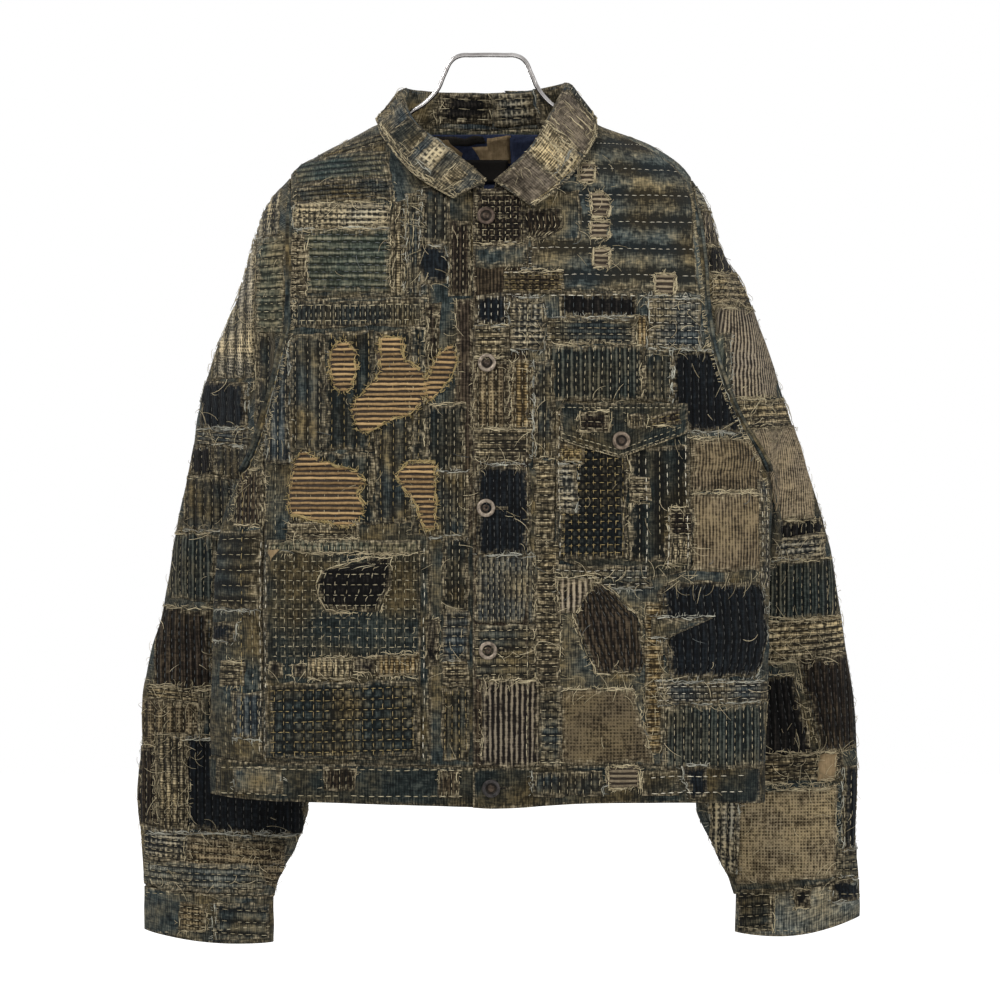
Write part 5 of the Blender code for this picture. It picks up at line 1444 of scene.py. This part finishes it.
def buttons():
    for k, (x, z) in enumerate([*FRONT_BUTTONS, FLAP_BUTTON]):
        base, far = on_body(x, z, -1), on_body(x, z, -1, 0.01)
        facing, lift = (far - base) / 0.01, LAYER + 0.5 * WALL + SEAM
        name = f"front_button_{k + 1}"
        if k == len(FRONT_BUTTONS) - 1:    # on the hem band's lap
            lift += BAND_MORE + 0.5 * (BAND_WALL - WALL)
        if k == len(FRONT_BUTTONS):
            name, lift = "flap_button", 2 * LAYER + 0.5 * WALL + SEAM
        button(name, base + facing * lift, facing, BUTTON_METALS[k])
    for side, tag in SIDES:
        spot = cuff_grid(side, 2, 2)[1]
        middle, near, above = (cuff_points(side, b, np.array(a), BAND_WALL + SEAM)
                               for b, a in ((0.5, spot), (0.5, spot + 0.02), (0.4, spot)))
        facing = np.cross(near - middle, above - middle)
        facing *= np.sign(facing[1]) / np.linalg.norm(facing)
        button(f"cuff_button_{tag}", middle + facing * (0.5 * BAND_WALL + SEAM), facing)


def hanger():
    """One bent wire, round and smooth."""
    line = bpy.data.curves.new("hanger_wire", "CURVE")
    line.dimensions, line.bevel_depth, line.bevel_resolution, line.use_fill_caps = "3D", WIRE, 6, True
    line.resolution_u = 10
    spline = line.splines.new("BEZIER")
    spline.bezier_points.add(len(HANGER) - 1)
    for point, (x, z) in zip(spline.bezier_points, HANGER):
        point.co, point.handle_left_type, point.handle_right_type = (x, 0.0, z), "AUTO", "AUTO"
    line.materials.append(MATERIALS["hanger_steel"])
    settle(bpy.data.objects.new("hanger_wire", line), ["hanger"])


body_cloths()
pocket_cloths()
sleeve_cloths()
neck_cloths()
buttons()
hanger()


# ---------------------------------------------------------------- patches, darns and threads laid on them


def both(*parts):
    """Names of the right and left piece of each part."""
    return [f"{part}_{tag}" for part in parts for _, tag in SIDES]


FRONTS = [*both("front_yoke", "front", "side_panel", "placket"), "hand_pocket", "chest_pocket",
          *both("hem_band"), "hem_band_back"]
BACKS = ["back_yoke", "back_panel", *both("side_panel"), "hem_band_back"]
LEVEL = {"way": "h", "pitch": 2}    # how a single row of stitches across the cloth is sewn
FINE = {**LEVEL, "dash": 3.6, "gap": 1.8, "sway": 0.2}


def ground_of(names, face, foot, top, **how):
    return seen([(SHELLS[n][1], SHELLS[n][3]) for n in names], face, foot, top, **how)


def buttonhole(ground, x, z):
    """A slit beside a button, its opening drawn as a strip of black cloth that paints the shade in it, with
    close stitches above and below.
    """
    slit = Piece(f"buttonhole_{round(-z)}", "brown_patched")
    # black cloth as painted shade in the slit's opening
    lay(slit, ground, "black", x + 5, x + 20, z + 1.3, z - 1.3, ragged=0.1, ply=0.2)
    for low in (1.2, -3.2):
        sew(slit, ground, CREAM, x + 4, x + 21, z + low + 2, z + low, "v", 1.4, dash=1.6, gap=5, sway=0.1)
    return slit.done()


def front_loose_threads(loose, ground):
    """Fringes along the front's outline, threads at its worn places and a few all over."""
    for edge, turn in ((0.012, 1), (0.988, -1)):
        for top in range(-130, -430, -20):
            a0, a1 = (float(ground.share(edge)(b)) for b in (top, top - 20))
            fringe(loose, ground, BEIGE, a0, top, a1, top - 20, 5.0 * turn, pitch=1.4)
    for left, right, top, foot, many, heading in FRONT_FUZZ:
        fuzz(loose, ground, BEIGE, left, right, top, foot, many, heading=heading)
    for thread, many in ((BEIGE, 160), (CREAM, 50), (BLUE, 120)):
        fuzz(loose, ground, thread, -255, 258, -80, -695, many, 9.0)


def front_trim():
    """All that lies on the front; the pieces by name."""
    ground, made = ground_of(FRONTS, -1, -700, -60), {}
    stitching, plain, darns, loose = (Piece(f"front_{name}", slot) for name, slot in (
        ("stitching", "patched_denim"), ("plain_stitching", "yoke_denim"), ("darns", "patched_denim"),
        ("loose_threads", "patched_denim")))
    for left, right, top, foot, way, pitch, fat in BASE_ROWS:
        sew(plain, ground, CREAM, left, right, top, foot, way, pitch, fat=fat)
    for part, rows in FRONT_PATCHES.items():
        cloths = Piece(f"{part}_patches", "patched_denim")
        for row in rows:
            patch(cloths, stitching, ground, row)
        made[part] = cloths.done()
    made["buttonholes"] = [buttonhole(ground, x / MM, z / MM) for x, z in FRONT_BUTTONS]
    for outline in FRONT_HOLES:
        yarn, edge = (RIB_YARN, GOLD) if -600 < outline[0][0] < -230 else (DULL_YARN, BEIGE)
        hole(darns, ground, outline, yarn, edge)
    for left, right, top, foot, way, thread in FRONT_LINES:
        a, b = (0, 1) if way == "h" else (1, 0)
        sew(plain, ground, thread, left - a, right + a, top + b, foot - b, way, 2, dash=5.2, gap=3.0, fat=0.5)
    front_loose_threads(loose, ground)
    for name, piece in (("stitching", stitching), ("plain", plain), ("darns", darns), ("loose", loose)):
        made[name] = piece.done()
    return made


def flap_trim():
    ground = ground_of(["chest_pocket_flap"], -1, -380, -329, step=2.0, columns=40)
    cloths, stitching = Piece("flap_patches", "yoke_denim"), Piece("flap_stitching", "yoke_denim")
    for row in FLAP_PATCHES:
        patch(cloths, stitching, ground, row)
    for (x0, z0), (x1, z1) in zip(FLAP_FOOT, FLAP_FOOT[1:]):
        slope = (z1 - z0) / (x1 - x0)
        for up in (3.0, 7.5):
            middle = (z0 + z1) / 2 / MM + up
            sew(stitching, ground, CREAM, x0 / MM, x1 / MM, middle + 1, middle - 1, tilt=slope, **FINE)
        fringe(stitching, ground, BEIGE, x0 / MM, z0 / MM + 0.5, x1 / MM, z1 / MM + 0.5, 3.0, pitch=1.6)
    sew(stitching, ground, CREAM, 67, 183, -332, -334, **FINE)
    return [cloths.done(), stitching.done()]


def sleeve_trim(side, tag):
    made = []
    for face, where in ((-1, "front"), (1, "back")):
        ground = ground_of([f"sleeve_{tag}", f"cuff_{tag}"], face, -838, -122, columns=64)
        cloths, stitching = (Piece(f"sleeve_{tag}_{where}_{kind}", "brown_patched")
                             for kind in ("patches", "stitching"))
        if face < 0:
            for row in SLEEVE_PATCHES[side] + CUFF_PATCHES[side]:
                patch(cloths, stitching, ground, row)
            for left, right, top, foot, many, heading in SLEEVE_FUZZ[side]:
                fuzz(stitching, ground, BEIGE, left, right, top, foot, many, 12.0, heading)
        else:
            for shares in ((0.0, 0.54), (0.54, 1.0)):
                quilt(cloths, stitching, ground, -132, -780, 0.10 * side, shares)
        low, high = ground.share(0.0), ground.share(1.0)
        sew(stitching, ground, CREAM, low, high, -794, -796, **LEVEL)
        sew(stitching, ground, CREAM, low, high, -828, -830, tilt=-0.05 * side, **LEVEL)
        edge_hair(stitching, ground, -140, -800, 36)
        for thread, n in ((BEIGE, 26), (CREAM, 6)):
            b = DRAW.uniform(-800, -150, n)
            a = low(b) + (high(b) - low(b)) * DRAW.uniform(0, 1, n)
            threads(stitching, ground, thread, a, b, DRAW.uniform(0, 2 * pi, n), DRAW.uniform(4, 12, n),
                    DRAW.normal(0, 0.9, n), DRAW.uniform(0.2, 1.2, n))
        made += [cloths.done(), stitching.done()]
    return [*made, armhole_seam(side, tag)]


def armhole_seam(side, tag):
    """The felled seam that stands up where body and sleeve meet, thin at the shoulder's end."""
    angle = np.linspace(0, 2 * pi, 161)
    path = armhole(side, angle)
    out = unit((path - path[:-1].mean(0)) * (0.25, 1.0, 0.25) + (side * 0.03, 0.0, 0.0))
    size = np.clip((1 - np.cos(angle)) / 0.30, 0.2, 1.0)
    piece = Piece(f"armhole_seam_{tag}", "brown_patched")
    for way, wide in ((-0.0016, 2.1), (0.0016, 1.8)):
        rise = MM * (0.5 + 0.5 * noise(path, 0.012, 51)) * size - 0.0012 * (1 - size)
        shifted = path + np.array((way * side, 0.0, 0.0)) * size[:, None] + out * rise[:, None]
        high = (1.6 + 0.4 * noise(path, 0.006, 52)) * size
        tubes(piece, "denim", shifted[None], out[None], (wide * size)[None], high[None], 8)
    return piece.done()


def edge_hair(piece, ground, top, foot, many):
    """Hairs that stand out along the outline."""
    for edge in (0.004, 0.996):
        b = DRAW.uniform(foot, top, many)
        heading = DRAW.choice([-1.4, 1.4], many) + DRAW.normal(0, 0.6, many)
        threads(piece, ground, BEIGE, ground.share(edge)(b), b, heading, DRAW.uniform(3, 11, many),
                DRAW.normal(0, 1.2, many), DRAW.uniform(0.6, 4.0, many), 0.26)


def back_trim():
    ground = ground_of(BACKS, 1, -700, -74)
    yoke_cloths, cloths, stitching, darns = (Piece(f"back_{name}", slot) for name, slot in (
        ("yoke_patches", "yoke_denim"), ("patches", "patched_denim"), ("stitching", "patched_denim"),
        ("darns", "patched_denim")))
    quilt(yoke_cloths, stitching, ground, -78, -196)
    for shares in ((0.0, 0.27), (0.27, 0.52), (0.52, 0.79), (0.79, 1.0)):
        quilt(cloths, stitching, ground, -200, -660, shares=shares, rows=(38, 92), widths=(44, 90))
    low, high = ground.share(0.01), ground.share(0.99)
    for top, thread in ((-194, PALE), (-204, PALE), (-668, CREAM), (-690, CREAM)):
        sew(stitching, ground, thread, low, high, top + 1, top - 1, **LEVEL)
    edge_hair(stitching, ground, -120, -690, 60)
    for outline in BACK_HOLES:
        hole(darns, ground, outline)
    for thread, many in ((BEIGE, 420), (CREAM, 120)):
        fuzz(stitching, ground, thread, -235, 235, -90, -690, many, 10.0)
    return [piece.done() for piece in (yoke_cloths, cloths, stitching, darns)]


def collar_patches(fold, edge):
    """The collar's patches, from the fold's height and the outer edge's; the stand's foot is at 0."""
    stand, fall = (-3, fold + 1), (fold - 2, edge + 2)
    return [
        ("bluegrey", 2, 150, fold - 3, edge + 2, 0, None, "b"),
        ("fray", 24, 46, fold - 12, edge + 12, 0, None, "lr"),
        ("plaid", 62, 84, fold - 4, edge + 14, 0, None, "tb"),
        ("indigo", 92, 124, fold - 6, edge + 8, 0, None, "l"),
        ("denim", 130, 205, *stand, 0, None, ""), ("black", 205, 227, *stand, 0, ("h", 8, CREAM), "lr"),
        ("plaid", 227, 244, *stand, 0, ("h", 7, BEIGE), "r"), ("indigo", 244, 300, *stand, 0, None, ""),
        ("brown", 300, 340, *stand, 0, ("h", 8, BEIGE), ""),
        ("brown", 160, 232, *fall, 0, ("v", 8, CREAM), "b"),
        ("indigo", 232, 300, *fall, 0, ("h", 7, PALE), "b"), ("heather", 300, 348, *fall, 0, None, "b"),
        ("fray", 346, 392, fold - 2, edge + 8, 0, None, "lr"),
        ("plaid", 352, 396, edge + 12, edge + 2, 0, None, "t"),
        ("heather", 392, 448, fold - 3, edge + 2, 0, None, "b")]


def collar_trim():
    """The collar's ground runs along the collar and down from the stand over the fold to the outer edge."""
    _, outer, normal, _ = SHELLS["collar"]
    down = np.cumsum(np.linalg.norm(np.diff(outer, axis=0), axis=-1).mean(1)) / MM
    b = -np.concatenate([[0.0], down])
    ground = Ground(outer[::-1], normal[::-1], b[::-1], 0.0, 450.0, False)
    fold, edge = float(b[COLLAR_CELLS + 2]), float(b[-1])
    cloths, stitching = Piece("collar_patches", "brown_patched"), Piece("collar_stitching", "brown_patched")
    for row in collar_patches(fold, edge):
        patch(cloths, stitching, ground, row)
    for a, many in ((300, 9), (346, 12)):
        for _ in range(many):
            start = a + DRAW.uniform(0, 44)
            end = start + DRAW.uniform(-8, 8)
            ravel(stitching, ground, BEIGE, start, fold - 2, end, edge + 6, pitch=16.0, fat=0.55, broad=1.0)
    for depth in (1.5, 4.5, 8.0):
        ravel(stitching, ground, BEIGE, 3, edge + depth, 350, edge + depth, pitch=10.0, fat=0.44, broad=1.4)
    sew(stitching, ground, GOLD, 352, 447, edge + 5, edge + 3, dash=3.0, gap=1.6, sway=0.3, fat=0.35, **LEVEL)
    fringe(stitching, ground, BEIGE, 3, edge + 1, 447, edge + 1, 5.0, pitch=2.2)
    fringe(stitching, ground, BEIGE, 2, fold, 2, edge, -4.0, pitch=1.6)
    fuzz(stitching, ground, BEIGE, 5, 445, fold, edge, 260, 9.0)
    return [cloths.done(), stitching.done()]


def lining_trim():
    """The generic tan, blue and grey pieces of the lining where the neck shows it."""
    _, outer, normal, _ = SHELLS["back_lining"]
    b = np.linspace(-66.5, -190, outer.shape[0])
    ground = Ground(outer[::-1], normal[::-1], b[::-1], -72.0, 72.0, False)
    cloths = Piece("lining_patches", "lining_cloth")
    for row in LINING_PATCHES:
        lay(cloths, ground, *row, ragged=1.2, ply=0.25)
    return [cloths.done()]


front, flap = front_trim(), flap_trim()
sleeves = {side: sleeve_trim(side, tag) for side, tag in SIDES}
back, collar, lining = back_trim(), collar_trim(), lining_trim()


# ---------------------------------------------------------------- floor, light and camera
WHITE = (1.0, 1.0, 1.0, 1.0)
AIM = (0.0, 0.0, -0.42)    # the middle of the jacket, at which the lamps point
# lamps: name, place, width in metres, power in watts
LAMPS = [("key", (-1.4, -1.7, 1.3), 0.7, 56.0), ("fill", (1.7, -1.6, 0.3), 1.0, 30.0),
         ("behind", (-0.9, 2.6, 0.5), 1.2, 52.0)]


def floor():
    """A floor that looks as white as the background to the camera."""
    bpy.ops.mesh.primitive_plane_add(size=24.0, location=(0.0, 0.0, -1.65))
    item = bpy.context.object
    item.name = "floor"
    g = Graph(bpy.data.materials.new("floor_white"))
    path = g.node("LightPath").outputs
    through = g.maths("ADD", path["Is Glossy Ray"], path["Is Transmission Ray"])
    seen_ray = g.maths("ADD", path["Is Camera Ray"], through, True)
    bare = g.node("BsdfDiffuse", {"Color": (0.9, 0.9, 0.9, 1.0)}).outputs[0]
    glow = g.node("Emission", {"Color": WHITE, "Strength": 0.85}).outputs[0]
    lit = g.node("AddShader", {0: bare, 1: glow}).outputs[0]
    g.node("OutputMaterial", {0: g.node("MixShader", {0: seen_ray, 1: bare, 2: lit}).outputs[0]})
    item.data.materials.append(g.owner)


def background():
    """White where it is seen, and dimmer as a light."""
    world = bpy.data.worlds.new("studio")
    bpy.context.scene.world = world
    g = Graph(world)
    path = g.node("LightPath").outputs
    seen_ray = g.maths("ADD", path["Is Camera Ray"], path["Is Glossy Ray"], True)
    dim, white = (g.node("Background", {"Color": WHITE, "Strength": power}).outputs[0]
                  for power in (0.40, 1.0))
    g.node("OutputWorld", {0: g.node("MixShader", {0: seen_ray, 1: dim, 2: white}).outputs[0]})


def lamps():
    for name, place, size, power in LAMPS:
        lamp = bpy.data.lights.new(name, "AREA")
        lamp.size, lamp.energy = size, power
        item = bpy.data.objects.new(name, lamp)
        item.location = place
        item.rotation_euler = (Vector(AIM) - item.location).to_track_quat("-Z", "Y").to_euler()
        bpy.context.scene.collection.objects.link(item)


def camera():
    """Straight on from the front, as far away as the photograph's camera seems to be."""
    scene, view = bpy.context.scene, bpy.data.cameras.new("camera")
    view.sensor_width, view.lens = 36.0, 121.94
    item = bpy.data.objects.new("camera", view)
    item.location, item.rotation_euler = (0.0112, -3.2, -0.418), (pi / 2, 0.0, 0.0)
    scene.collection.objects.link(item)
    scene.camera = item
    scene.view_settings.view_transform = "Standard"


floor()
background()
lamps()
camera()
